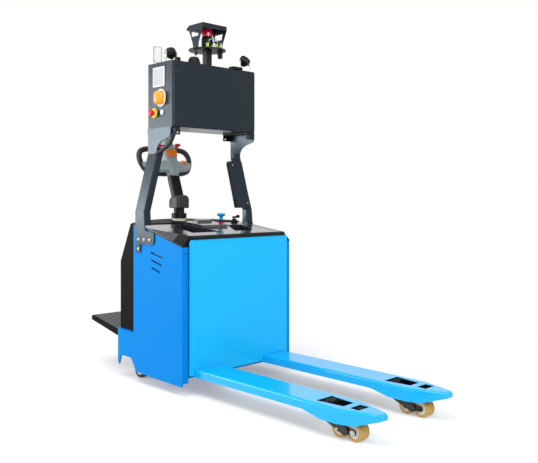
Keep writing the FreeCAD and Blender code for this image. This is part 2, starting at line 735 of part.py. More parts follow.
# Key switch on the deck's left shoulder, with a turning lever
key_base = turned("key_base", "z", [(4.5, 0), (22, 0), (22, 10.5), (14, 16.5), (14, 24.5), (4.5, 24.5)], -key_x,
                  key_y, key_z - 2.5)
lever = joined("lever", [rod("stem", "z", (-key_x, key_y), key_z + 6, key_z + 30, 4.4),
                         block("bar", -key_x - 6, -key_x + 6, key_y - 12, key_y + 34, key_z + 26, key_z + 37),
                         rod("tip", "x", (key_y + 30, key_z + 36), -key_x - 8, -key_x + 8, 9)])
node(lever, "key_lever")
recess_knob = turned("recess_knob", "z", [(0, 0), (10, 0), (10, 10), (7, 14), (0, 14)], -150, -86, deck_front - 16)
node(group("trim_set", trims + [key_base, recess_knob]), "deck_trim")

# ---------------------------------------------------------------- gantry

lug_front, lug_rear = -box_front - 19, -box_front - box_depth + 9
bolt_low, bolt_high = cell("bolt_low", 740), cell("bolt_high", 792)
leg_right_edge = [(-338, bolt_high + 50), (-347, bolt_high + 76), (-356, leg_bend_low - 2),
                  (lug_front - 144, leg_bend_high - 10), (lug_front - 126, leg_bend_high + 26),
                  (lug_front - 84, box_bottom - 77), (lug_front - 28, box_bottom - 56),
                  (lug_front - 2, box_bottom - 40), (lug_front, box_bottom)]
leg_outline = [(-431, bolt_low - 18), (-385, bolt_low - 18), (-385, bolt_high - 24), (-274, bolt_high - 24),
               (-256, bolt_high - 8), (-256, bolt_high + 38), (-300, bolt_high + 43)] + leg_right_edge
leg_outline += [(lug_rear, box_bottom), (lug_rear, leg_bend_high), (-431, leg_bend_low)]
leg_high_y = box_width / 2


def leg_section(depth):
    """The leg's bent course seen along X: upright, leaning inward, upright again."""
    return [(-half - leg_skin, 700), (-half - leg_skin, leg_bend_low), (-leg_high_y - leg_skin, leg_bend_high),
            (-leg_high_y - leg_skin, box_bottom + 8), (-leg_high_y - leg_skin + depth, box_bottom + 8),
            (-leg_high_y - leg_skin + depth, leg_bend_high), (-half - leg_skin + depth, leg_bend_low),
            (-half - leg_skin + depth, 700)]


leg_face = shared("leg_face", [pad(new_body("course"), "x", -500, -200, leg_section(leg_skin)),
                               pad(new_body("shape"), "y", -half - 20, 0, leg_outline, [((0, 1), 14), ((4,), 8)])])
inner_edge = [(x - 8, z - 1) for x, z in leg_right_edge[:3]]
inner_edge += [(x - 5, z + 7) for x, z in leg_right_edge[3:8]]
inner_edge.append((lug_front - 8, box_bottom - 1))
leg_rib = shared("leg_rib", [pad(new_body("course"), "x", -500, -200, leg_section(leg_flange)),
                             pad(new_body("shape"), "y", -half - 20, 0,
                                 leg_right_edge + inner_edge[::-1])])
leg_tabs = []
for front in (lug_front, lug_rear):
    leg_tabs.append(block("tab", front, front + 6, -leg_high_y, -leg_high_y + 56, box_bottom - 40, box_bottom))
leg_seat = block("seat", lug_rear, lug_front, -leg_high_y - leg_skin, -leg_high_y + 56, box_bottom - 6, box_bottom)
leg_whole = joined("leg_whole", [leg_face, leg_rib, leg_seat] + leg_tabs)
bolt_spots = [(-400, bolt_high), (-348, bolt_high), (-296, bolt_high), (-400, bolt_low)]
leg_holes = [rod("hole", "y", spot, -half - 20, -half + 4, 6.5) for spot in bolt_spots]
for front in (lug_front - 6, lug_rear - 6):
    leg_holes.append(rod("hole", "x", (-leg_high_y + 40, box_bottom - 28), front, front + 20, 6))
leg_holes.append(block("deck_room", -470, -200, -half, 0, 700, 862))
right_leg = less("right_leg", leg_whole, leg_holes)
node(right_leg, "right_leg")
left_leg = node(mirrored("left_leg", right_leg), "left_leg")
bolts = []
for side in (-1, 1):
    for x, z in bolt_spots:
        low, high = (-half - leg_skin - 6, -half - leg_skin) if side < 0 else (half + leg_skin, half + leg_skin + 6)
        bolts.append(rod("head", "y", (x, z), low, high, 9.5))
        low, high = (-half - leg_skin, -half) if side < 0 else (half, half + leg_skin)
        bolts.append(rod("shank", "y", (x, z), low, high, 6.3))

# A flat duct cover runs up the front of the left leg's slanting stretch
duct = pad(new_body("duct_body"), "x", -372, -345,
           [(half - 5, leg_bend_low + 13), (leg_high_y + 7, leg_bend_high - 26),
            (leg_high_y - 84, leg_bend_high - 26), (leg_high_y - 94, leg_bend_high - 40),
            (half - 117, leg_bend_low + 13)])
node(less("duct", duct, [left_leg]), "duct_cover")

# ---------------------------------------------------------------- control box

bx0, bx1 = -box_front - box_depth, -box_front
by = box_width / 2
bz0, bz1 = box_bottom, box_bottom + box_height
stop_x, stop_z = box_front + cell("stop_back", 173), box_bottom + cell("stop_rise", 84)
push_x = box_front + cell("push_back", 99)
cabinet = pad(new_body("cabinet_body"), "z", bz0, bz1, oblong(bx0, bx1 - 4, -by, by), [((0, 1, 2, 3), 9)])
node(less("cabinet", cabinet, [rod("stop_hole", "y", (-stop_x, stop_z), -by - 1, -by + 12, 9),
                               rod("push_hole", "y", (-push_x, stop_z), -by - 1, -by + 12, 12.5)]), "control_box")
slab("control_box_cover", "x", bx1 - 4, bx1, oblong(-by + 6, by - 6, bz0 + 4, bz1 - 4), [((0, 1, 2, 3), 8)])
screws = []
for y in (-by + 30, by - 30):
    for z in (bz0 + 60, bz1 - 60):
        screws.append(rod("screw", "x", (y, z), bx1, bx1 + 3, 7))
node(joined("bolts", bolts + screws), "bolts")

face = -by
display_top, display_front = bz1 - cell("display_drop", 24), bx1 - cell("display_back", 73)
display_wide, display_tall = cell("display_wide", 110), cell("display_tall", 116)
display_bezel = pad(new_body("display_bezel"), "y", face - 6, face,
                    oblong(display_front - display_wide, display_front, display_top - display_tall, display_top),
                    [((0, 1, 2, 3), 6)])
slab("display_screen", "y", face - 7, face - 6,
     oblong(display_front - display_wide + 8, display_front - 8, display_top - display_tall + 10, display_top - 9))
beacon_x, beacon_z = bx1 - cell("beacon_back", 122), bz0 + cell("beacon_rise", 164)
beacon_radius = cell("beacon_radius", 38)
beacon_base = pad(new_body("beacon_base"), "y", face - 8, face,
                  oblong(beacon_x - 47, beacon_x + 47, beacon_z - 48, beacon_z + 48), [((0, 1, 2, 3), 30)])
dome = shared("dome", [rod("round", "z", (beacon_x, face - 8), beacon_z - 38, beacon_z + 38, beacon_radius),
                       block("front", beacon_x - 63, beacon_x + 57, face - 60, face - 8, beacon_z - 66,
                             beacon_z + 54)])
node(dome, "beacon_lens")
stop_ring = turned("stop_ring", "y", [(9, 0), (28, 0), (28, 6), (22, 9), (9, 9)], -stop_x, face, stop_z, True)
knob("stop_button", -stop_x, face - 1, stop_z, [(0, 0), (8.5, 0), (8.5, 18), (19, 20), (20, 28), (15, 33), (0, 35)],
     "y", True)
push_collar = turned("push_collar", "y", [(12.5, 0), (17, 0), (17, 5), (15, 6), (12.5, 6)], -push_x, face, stop_z,
                     True)
node(group("bezels", [display_bezel, beacon_base, stop_ring, push_collar]), "side_bezels")
knob("push_button", -push_x, face - 1, stop_z, [(0, 0), (12, 0), (12, 9), (0, 9)], "y", True)

# Spot lamps: a bracket on the box top and a round head that tilts in it
top = bz1
lamp_spots = {"right": (bx1 - 115, 68 - by), "left": (bx1 - 47, by - 48)}
lamp_z = cell("lamp_z", 62)
lamp_brackets = []
for label, (x, y) in lamp_spots.items():
    parts = [block("foot", x - 24, x + 24, y - 40, y + 40, top, top + 4)]
    for way in (-1, 1):
        low, high = (y - 37, y - 33) if way < 0 else (y + 33, y + 37)
        parts += [block("ear", x - 9, x + 9, low, high, top, top + lamp_z),
                  rod("ear_end", "y", (x, top + lamp_z), low, high, 9)]
        low, high = (y - 40, y - 32.5) if way < 0 else (y + 32.5, y + 40)
        parts.append(rod("pin", "y", (x, top + lamp_z), low, high, 4))
    lamp_brackets.append(joined(label + "_lamp_stand", parts))
    can = turned("can", "x", [(0, -24), (18, -24), (30, -8), (32, 4), (32, 20), (28, 22), (27, 17), (0, 17)], 0, 0, 0)
    sockets = [rod("socket", "y", (0, 0), 31, 45, 4.05), rod("socket", "y", (0, 0), -45, -31, 4.05)]
    head = less(label + "_lamp_head", can, sockets)
    head.Placement = FreeCAD.Placement(FreeCAD.Vector(), FreeCAD.Rotation(Y, 145 if label == "right" else -40))
    place(head, x, y, top + lamp_z)
    node(head, label + "_lamp_head")
node(group("lamp_stands", lamp_brackets), "lamp_brackets")
dome_lamp = turned("dome", "z", [(0, 0), (37, 0), (37, 8), (33, 12), (31, 26), (22, 38), (0, 43)], bx1 - 37,
                   169 - by, top)
pod = pad(new_body("pod"), "z", top, top + 14, oblong(bx1 - 37, bx1 + 9, by - 180, by - 104), [((0, 1, 2, 3), 8)])
relay = pad(new_body("relay"), "z", top, top + 20, oblong(bx1 - 37, bx1 - 11, 34 - by, 60 - by),
            [((0, 1, 2, 3), 5)])
node(group("fixtures", [dome_lamp, pod, relay]), "box_top_lamps")
reflector = pad(new_body("reflector"), "x", bx1 - 141, bx1 - 137, oblong(-by - 30, 24 - by, top, top + 88),
                [((2, 3), 10)])
node(reflector, "lamp_shield")

# ---------------------------------------------------------------- sensor mast

mast_x = box_front + cell("mast_back", 82)
post = cell("post", 40)
disc_z = top + cell("mast_height", 96)
disc = rod("disc", "z", (-mast_x, 0), disc_z, disc_z + 6, 107)
stalk = pad(new_body("stalk"), "z", top, disc_z, oblong(-mast_x - post / 2, -mast_x + post / 2, -post / 2, post / 2),
            [((0, 1, 2, 3), 4)])
buzzer = rod("buzzer", "z", (47 - mast_x, 62), disc_z - 40, disc_z, 11)
post_foot = block("foot", -mast_x - 45, -mast_x + 45, -45, 45, top, top + 6)
mount_post = block("mount", -mast_x - 14, -mast_x + 14, -14, 14, disc_z + 6, disc_z + 12)
mast_pieces = joined("mast_pieces", [disc, stalk, buzzer, post_foot, mount_post])
scanner = [turned("scanner_base", "z", [(0, 0), (33, 0), (33, 62), (29, 66), (29, 68), (0, 68)], -mast_x, 0, disc_z + 12),
           turned("scanner_head", "z", [(0, 68), (29, 68), (31, 70), (31, 108), (27, 113), (0, 113)], -mast_x, 0,
                  disc_z + 12)]
node(group("scanner_pair", scanner), "scanner")
hood_low, hood_top = disc_z - cell("hood_drop", 36), disc_z + cell("hood_rise", 142)
hood_half, hood_skin = cell("hood_half", 88), cell("hood_skin", 3)
hood_rear, hood_front = -mast_x - 60, 70 - mast_x
cheek = pad(new_body("cheek"), "y", -hood_half, hood_skin - hood_half,
            [(hood_rear, hood_top - 22), (hood_rear, hood_top), (hood_front, hood_top), (hood_front, hood_top - 22),
             (hood_front - 37, hood_low + 78), (hood_front - 51, hood_low), (hood_rear + 55, hood_low),
             (hood_rear + 35, hood_low + 78)], [((5, 6), 11)])
pocket(cheek, "y", -hood_half - 1, hood_skin - hood_half + 1,
       [(hood_rear + 26, hood_top - 69), (hood_rear + 26, hood_top - 37), (hood_front - 35, hood_top - 37),
        (hood_front - 43, hood_top - 69)])
cheeks = [cheek, mirrored("far_cheek", cheek)]
node(less("mast_cut", mast_pieces, cheeks), "mast")
roof = block("roof", hood_rear, hood_front, -hood_half, hood_half, hood_top - hood_skin, hood_top)
fascia = [block("fascia", hood_front - hood_skin, hood_front, -hood_half, hood_half, hood_top - 24, hood_top),
          block("fascia", hood_rear, hood_rear + hood_skin, -hood_half, hood_half, hood_top - 24, hood_top)]
feet = [rod("foot", "y", (7 - mast_x, hood_low + 12), *ends, 7)
        for ends in ((-hood_half - 5, hood_skin - hood_half), (hood_half - hood_skin, hood_half + 5))]
ties = [block("tie", hood_rear + 55, hood_front - 51, low, high, disc_z - hood_skin, disc_z)
        for low, high in ((2 - hood_half, 28 - hood_half), (hood_half - 28, hood_half - 2))]
node(joined("sensor_hood", cheeks + [roof] + fascia + feet + ties), "sensor_hood")
plugs = [rod("plug", "z", spot, disc_z + 6, disc_z + 34, radius)
         for spot, radius in (((52 - mast_x, -40), 9), ((62 - mast_x, 20), 6), ((57 - mast_x, 52), 8))]
node(group("plugs", plugs), "mast_plugs")

# ---------------------------------------------------------------- steering and tiller

turret = cell("turret", 45.5)
ring = turned("ring", "z", [(26, 0), (40, 0), (40, 20), (26, 20)], -steer_x, 0, column_top - 20)
node(ring, "column_ring")
shaft = rod("shaft", "z", (-steer_x, 0), cover_bottom - 8 - gap, column_top + 4, 20)
collar = rod("collar", "z", (-steer_x, 0), column_top + gap, column_top + 30, turret)
neck = rod("neck", "z", (-steer_x, 0), column_top + 30, column_top + 62, 32)
column = joined("column", [shaft, collar, neck])
cheek_top = tiller_pivot + 32
cheek_low = column_top + 62
yokes = [block("saddle", -steer_x - 38, -steer_x + 38, -45, 45, cheek_low, cheek_low + 2)]
for low, high in ((-45, -38), (38, 45)):
    yokes.append(pad(new_body("yoke"), "y", low, high,
                     [(-steer_x - 38, cheek_low), (-steer_x - 38, cheek_top), (-steer_x + 38, cheek_top),
                      (-steer_x + 38, cheek_low)], [((1, 2), 24)]))
tilt_hole = rod("tilt_hole", "y", (-steer_x, tiller_pivot), -46, 46, 7)
node(group("column_and_yoke", [column, less("yoke_piece", joined("yoke_solid", yokes), [tilt_hole])]),
     "steering_column")


def leaned(thing, label):
    """Takes a piece drawn upright over the tilt pivot to its place on the leaning tiller."""
    turn(thing, FreeCAD.Vector(0, -1, 0), tiller_lean)
    place(thing, -steer_x, 0, tiller_pivot)
    return node(thing, label)


arm = pad(new_body("arm_body"), "z", 10, 170, oblong(-20, 20, -35, 35), [((0, 1, 2, 3), 8)])
drum = rod("drum", "y", (0, 0), -37, 37, 24)
axle = rod("axle", "y", (0, 0), -44.5, 44.5, 7 - running)
leaned(joined("tiller_arm_solid", [arm, drum, axle]), "tiller_arm")

head = pad(new_body("head_body"), "x", -26, 34,
           [(-30, 170.1), (30, 170.1), (52, 198), (62, 214), (62, 268), (55, 344), (46, 398), (34, 424), (-34, 424),
            (-46, 398), (-55, 344), (-62, 268), (-62, 214), (-52, 198)], [((7, 8), 12), ((0, 1, 3, 4, 12, 13), 8)])
dress(head, face_edges(head, "x", 34), 10)
pocket(head, "z", 418, 425, oblong(-22.6, 26.6, -27.6, 27.6))
bar = pad(new_body("bar"), "x", -30, -6,
          [(-160, 212), (160, 212), (188, 250), (186, 274), (150, 246), (-150, 246), (-186, 274), (-188, 250)])
rim = pad(new_body("rim_body"), "x", -62, -30,
          [(-104, 190), (104, 190), (160, 204), (193, 249), (204, 310), (178, 368), (118, 384), (-118, 384), (-178, 368),
           (-204, 310), (-193, 249), (-160, 204)], [((0, 1, 2, 3, 4, 5, 6, 7, 8, 9, 10, 11), 18)])
for way in (-1, 1):
    hollow = [(58 * way, 236), (138 * way, 236), (158 * way, 268), (167 * way, 308), (150 * way, 336), (112 * way, 348),
              (58 * way, 348)]
    pocket(rim, "x", -63, -29, hollow)
dress(rim, face_edges(rim, "x", -62), 12)
leaned(rim, "tiller_loops")
bores = [rod("paddle_bore", "y", (14, 366), -70, 70, 4 + running), rod("rocker_bore", "y", (-8, 264), -70, 70, 4 + running)]
leaned(less("head_cut", joined("head_solid", [head, bar], refine=False), bores), "tiller_head")

plates = [pad(new_body("badge"), "x", 34, 36, oblong(-36, 38, 288, 334), [((0, 1, 2, 3), 5)])]
leaned(plates[0], "head_plate")
paddle_axle = 366
wings = []
for way in (-1, 1):
    wings.append(pad(new_body("wing"), "x", 8, 20,
                     [(56 * way, 350), (92 * way, 368), (92 * way, 382), (56 * way, 380)] if way > 0 else
                     [(56 * way, 350), (56 * way, 380), (92 * way, 382), (92 * way, 368)]))
spindle = rod("spindle", "y", (14, paddle_axle), -57, 57, 4)
leaned(joined("paddle_solid", wings + [spindle]), "head_paddles")
belly = pad(new_body("belly_body"), "x", -22, 26, oblong(-27, 27, 424, 436), [((2, 3), 8)])
leaned(belly, "belly_button")
rockers = []
for way in (-1, 1):
    low, high = (-118, -90) if way < 0 else (90, 118)
    rockers.append(rod("rocker", "y", (-8, 264), low, high, 15))
rockers.append(rod("rocker_axle", "y", (-8, 264), -120, 120, 4))
leaned(joined("rocker_solid", rockers), "thumb_rockers")

# ---------------------------------------------------------------- drive and casters

bearing = rod("bearing", "z", (-steer_x, 0), 246, cover_bottom - 8 - gap, 70)
gearcase = joined("gearcase", [
    pad(new_body("leg"), "y", 41, 78, [(-steer_x - 55, 246), (-steer_x - 42, 80), (-steer_x - 20, 62),
                                       (-steer_x + 20, 62), (-steer_x + 42, 80), (-steer_x + 55, 246)]),
    rod("stub", "y", (-steer_x, drive_radius), -38, 41, 16 - running), bearing,
    block("beam", -steer_x - 50, -steer_x + 50, -60, 78, 236, 246)])
node(gearcase, "drive_unit")
wheel_low, wheel_high = -drive_width / 2, drive_width / 2
drive_core = less("core", rod("core_disc", "y", (-steer_x, drive_radius), wheel_low + 2, wheel_high - 2, 85),
                  [rod("bore", "y", (-steer_x, drive_radius), wheel_low - 5, wheel_high + 5, 16)])
drive_tread = less("tread", rod("tread_disc", "y", (-steer_x, drive_radius), wheel_low, wheel_high, drive_radius),
                   [rod("bore", "y", (-steer_x, drive_radius), wheel_low - 5, wheel_high + 5, 85)])
node(group("drive_wheel_pair", [drive_core, drive_tread]), "drive_wheel")

for label, side in (("right", -1), ("left", 1)):
    mid = caster_y * side
    wall = caster_width / 2 + gap * 4
    sides = []
    for way in (-1, 1):
        low, high = sorted((mid + wall * way, mid + (wall + 5) * way), key=lambda edge: edge.value)
        sides.append(pad(new_body("prong"), "y", low, high,
                         [(-caster_x - 12, caster_radius - 8), (-caster_x + 6, caster_radius - 14),
                          (-swivel_x + 26, caster_radius * 2 + 10), (-swivel_x + 26, caster_radius * 2 + 18),
                          (-swivel_x - 26, caster_radius * 2 + 18), (-caster_x - 14, caster_radius + 8)]))
    crown = block("crown", -swivel_x - 26, -swivel_x + 26, mid - wall - 5, mid + wall + 5, caster_radius * 2 + 10,
                  caster_radius * 2 + 18)
    bearing = rod("bearing", "z", (-swivel_x, mid), caster_radius * 2 + 18, 158 - gap, 30)
    stem = rod("stem", "z", (-swivel_x, mid), 150, 198, 12)
    pin = rod("pin", "y", (-caster_x, caster_radius), mid - wall - 5, mid + wall + 5, 6 - running)
    node(joined(label + "_caster_solid", sides + [crown, bearing, stem, pin]), label + "_caster_fork")
    rim_part = turned("rim", "y", [(6, -caster_width / 2), (32, -caster_width / 2), (32, caster_width / 2),
                                   (6, caster_width / 2)], -caster_x, mid, caster_radius)
    tyre = turned("tyre", "y", [(32, -caster_width / 2), (46, -caster_width / 2), (50, 4 - caster_width / 2),
                                (50, caster_width / 2 - 4), (46, caster_width / 2), (32, caster_width / 2)],
                  -caster_x, mid, caster_radius)
    node(group(label + "_caster_pair", [rim_part, tyre]), label + "_caster_wheel")

# ---------------------------------------------------------------- rider platform

step_half = step_width / 2
tray = pad(new_body("tray_body"), "y", -step_half, step_half,
           [(-40, -33), (-40, 3), (20 - step_length, 3), (20 - step_length, -26)], [((2,), 10), ((3,), 8)])
pocket(tray, "z", -2, 4, oblong(26 - step_length, -52, 8 - step_half, step_half - 8))
pocket(tray, "z", -60, -10, oblong(30 - step_length, -52, 12 - step_half, step_half - 12))
lugs = []
for side in (-1, 1):
    low, high = sorted((size(247) * side, size(285) * side), key=lambda edge: edge.value)
    lugs.append(pad(new_body("lug"), "y", low, high,
                    [(-48, -30), (-48, 0), (-8, 11), (8, 11), (11, 0), (8, -11), (-10, -12)]))
eye_holes = [rod("eye_hole", "y", (0, 0), -310, 310, step_pin + running)]


def hinged(thing, label):
    """Takes a piece drawn level from the hinge to its place on the tilted platform."""
    turn(thing, Y, step_tilt)
    place(thing, -step_hinge_x, 0, step_hinge_z)
    return node(thing, label)


hinged(less("platform_solid", joined("platform_pieces", [tray] + lugs), eye_holes), "platform")
mat = pad(new_body("mat_body"), "z", -2, 2, oblong(27 - step_length, -53, 9 - step_half, step_half - 9))
hinged(mat, "platform_mat")

# ---------------------------------------------------------------- files

# The truck is drawn from its load plate; its files have their origin midway along it
middle_x = cell("middle_x", 84)
doc.recompute()
for thing in doc.Objects:
    if "Invalid" in thing.State or "Error" in thing.State:
        raise RuntimeError("%s could not be built: %s" % (thing.Label, thing.State))
for piece in NODES:
    if piece.Shape.isNull() or not piece.Shape.isValid():
        raise RuntimeError("%s has no valid solid" % piece.Label)
    shape = piece.Shape.translated(FreeCAD.Vector(-middle_x.value, 0, 0))
    shape.exportStep("parts/%s.step" % piece.Label)
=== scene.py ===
import math

import bmesh
import bpy
import numpy as np
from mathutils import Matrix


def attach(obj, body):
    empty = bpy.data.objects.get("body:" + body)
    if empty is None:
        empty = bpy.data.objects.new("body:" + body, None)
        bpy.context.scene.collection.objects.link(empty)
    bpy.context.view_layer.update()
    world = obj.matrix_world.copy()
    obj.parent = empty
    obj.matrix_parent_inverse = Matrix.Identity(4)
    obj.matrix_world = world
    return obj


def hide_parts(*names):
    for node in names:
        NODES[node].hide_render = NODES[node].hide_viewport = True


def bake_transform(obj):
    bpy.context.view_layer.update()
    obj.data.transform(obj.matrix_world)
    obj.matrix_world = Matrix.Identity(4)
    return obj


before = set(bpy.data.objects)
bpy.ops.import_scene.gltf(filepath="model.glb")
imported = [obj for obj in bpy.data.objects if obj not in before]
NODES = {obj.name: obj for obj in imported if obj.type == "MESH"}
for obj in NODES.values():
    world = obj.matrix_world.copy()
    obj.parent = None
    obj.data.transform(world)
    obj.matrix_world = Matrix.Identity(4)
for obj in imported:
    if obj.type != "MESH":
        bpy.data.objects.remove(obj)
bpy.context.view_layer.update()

bl_info = {
    "name": "Autonomous pallet truck",
    "version": (1, 0, 0),
    "blender": (4, 5, 0),
    "location": "View3D > Sidebar > Pallet truck",
    "description": "Surfaces, finishes and stage of an autonomous rider pallet truck",
    "category": "Object",
}

# The truck is described in mm from its load plate's front face; its origin lies this far behind that (m)
ORIGIN = 0.084
MM = 0.001
# The steering axis, the height of the tiller's tilt pivot on it (mm) and how far the tiller leans back at rest
STEER_X = -564
PIVOT_Z = 985
LEAN = math.radians(20)
# From the truck's middle plane to a fork's middle, to a side sheet's outer face and to the box's side (mm)
FORK_MIDDLE = 242.5
SIDE_FACE = 398
BOX_SIDE = 300
# Height of the texture's bumps, and how near two places are one place (m)
BUMP_HEIGHT = 0.0004
WELD_REACH = 0.00002
# Colour inside a hollow pressing, where light hardly reaches
HOLLOW_SHADE = "0d0e10"
# A bend sharper than this many degrees keeps its edge on folded sheet
SHEET_ANGLE = 9
# The eye: its place in mm from the load plate's foot, its turn in degrees and its upward shift in frame widths
EYE = (2958.7, -2640.9, 1039.1)
EYE_TURN = 46.1
EYE_SHIFT = -0.069703
SENSOR = 36


# ---------------------------------------------------------------- places

def spot(x, y, z):
    """A place in mm from the load plate, on the floor, as a row of metres."""
    return np.array([x * MM - ORIGIN, y * MM, z * MM])


def spots(rows):
    """Many places in mm from the load plate as rows of metres."""
    return np.asarray(rows, float) * MM - np.array([ORIGIN, 0, 0])


def on_tiller(rows):
    """Places in mm over the tilt pivot, along the leaning tiller: turned about Y by the lean, then moved."""
    rows = np.asarray(rows, float)
    x, y, w = rows[..., 0], rows[..., 1], rows[..., 2]
    out = np.stack([STEER_X - w * math.sin(LEAN) + x * math.cos(LEAN), y,
                    PIVOT_Z + w * math.cos(LEAN) + x * math.sin(LEAN)], -1)
    return spots(out)


def srgb(text):
    """A hex colour as linear red, green, blue and alpha."""
    values = [int(text[i:i + 2], 16) / 255 for i in (0, 2, 4)]
    return tuple(v / 12.92 if v <= 0.04045 else ((v + 0.055) / 1.055) ** 2.4 for v in values) + (1.0,)


# ---------------------------------------------------------------- finishes

FINISHES = {}


def finish(name, colour, rough, metal=0.0, coat=0.0, coat_rough=0.08, mottle=0.04, grain=0.02, peel=0.0,
           peel_size=0.003, wear=0.06, specular=0.5, clear=0.0, glow=0.0, inside=None):
    """A surface finish: a base colour mottled by slow noise, a roughness that varies a little with
    a finer noise, and a bump of the finish's own grain size. Sizes are in metres on the real thing.
    inside gives a function that adds nodes for painted shade: a second, dark colour where a piece is hollow and
    light hardly reaches."""
    material = bpy.data.materials.new(name)
    material.use_nodes = True
    tree = material.node_tree
    shader = tree.nodes["Principled BSDF"]
    shader.inputs["Metallic"].default_value = metal
    shader.inputs["Coat Weight"].default_value = coat
    shader.inputs["Coat Roughness"].default_value = coat_rough
    shader.inputs["Specular IOR Level"].default_value = specular
    shader.inputs["Transmission Weight"].default_value = clear
    place = tree.nodes.new("ShaderNodeTexCoord")

    def noise(scale, detail):
        """How a noise of this scale varies over the piece."""
        node = tree.nodes.new("ShaderNodeTexNoise")
        node.inputs["Scale"].default_value = scale
        node.inputs["Detail"].default_value = detail
        tree.links.new(place.outputs["Object"], node.inputs["Vector"])
        return node.outputs["Fac"]

    tint = tree.nodes.new("ShaderNodeMix")
    tint.data_type = "RGBA"
    base = srgb(colour)
    tint.inputs["A"].default_value = tuple(c * (1 - mottle) for c in base[:3]) + (1,)
    tint.inputs["B"].default_value = tuple(min(c * (1 + mottle), 1) for c in base[:3]) + (1,)
    tree.links.new(noise(1 / grain / 4, 3), tint.inputs["Factor"])
    shade = tint.outputs["Result"]
    # Painted shade: where a hollow is marked, the base colour gives way to a dark one
    if inside:
        dark = tree.nodes.new("ShaderNodeMix")
        dark.data_type = "RGBA"
        dark.inputs["B"].default_value = srgb(HOLLOW_SHADE)
        tree.links.new(inside(tree, place.outputs["Object"]), dark.inputs["Factor"])
        tree.links.new(shade, dark.inputs["A"])
        shade = dark.outputs["Result"]
    tree.links.new(shade, shader.inputs["Base Color"])
    if glow:
        shader.inputs["Emission Color"].default_value = base
        shader.inputs["Emission Strength"].default_value = glow

    span = tree.nodes.new("ShaderNodeMapRange")
    span.inputs["To Min"].default_value = max(rough - wear, 0.02)
    span.inputs["To Max"].default_value = min(rough + wear, 1)
    tree.links.new(noise(1 / grain, 4), span.inputs["Value"])
    tree.links.new(span.outputs["Result"], shader.inputs["Roughness"])

    if peel:
        bump = tree.nodes.new("ShaderNodeBump")
        bump.inputs["Strength"].default_value = peel
        bump.inputs["Distance"].default_value = BUMP_HEIGHT
        tree.links.new(noise(1 / peel_size, 2), bump.inputs["Height"])
        tree.links.new(bump.outputs["Normal"], shader.inputs["Normal"])
    FINISHES[name] = material
    return material


def maths(tree, kind, first, second=None):
    """One arithmetic step on a material's values; a plain number is set on its own socket."""
    step = tree.nodes.new("ShaderNodeMath")
    step.operation = kind
    for socket, value in zip(step.inputs, (first, second)):
        if value is None:
            continue
        if isinstance(value, (int, float)):
            socket.default_value = value
        else:
            tree.links.new(value, socket)
    return step.outputs[0]


def fork_channel_shade(tree, place):
    """1 within a fork's channel, where its walls are painted in shade: under its top skin, between its side
    walls, which draw together towards the tip, and behind its solid tip."""
    half_width, taper_start, taper_rate = 0.0776, 0.960, 0.425
    skin_under, tip_back = 0.1395, 1.060
    split = tree.nodes.new("ShaderNodeSeparateXYZ")
    tree.links.new(place, split.inputs[0])
    from_middle = maths(tree, "ABSOLUTE", split.outputs[1])
    off_middle = maths(tree, "ABSOLUTE", maths(tree, "SUBTRACT", from_middle, FORK_MIDDLE * MM))
    taper = maths(tree, "MAXIMUM", maths(tree, "SUBTRACT", split.outputs[0], taper_start - ORIGIN), 0)
    narrow = maths(tree, "SUBTRACT", half_width, maths(tree, "MULTIPLY", taper, taper_rate))
    walls = maths(tree, "LESS_THAN", off_middle, narrow)
    under = maths(tree, "LESS_THAN", split.outputs[2], skin_under)
    behind = maths(tree, "LESS_THAN", split.outputs[0], tip_back - ORIGIN)
    return maths(tree, "MULTIPLY", maths(tree, "MULTIPLY", walls, under), behind)


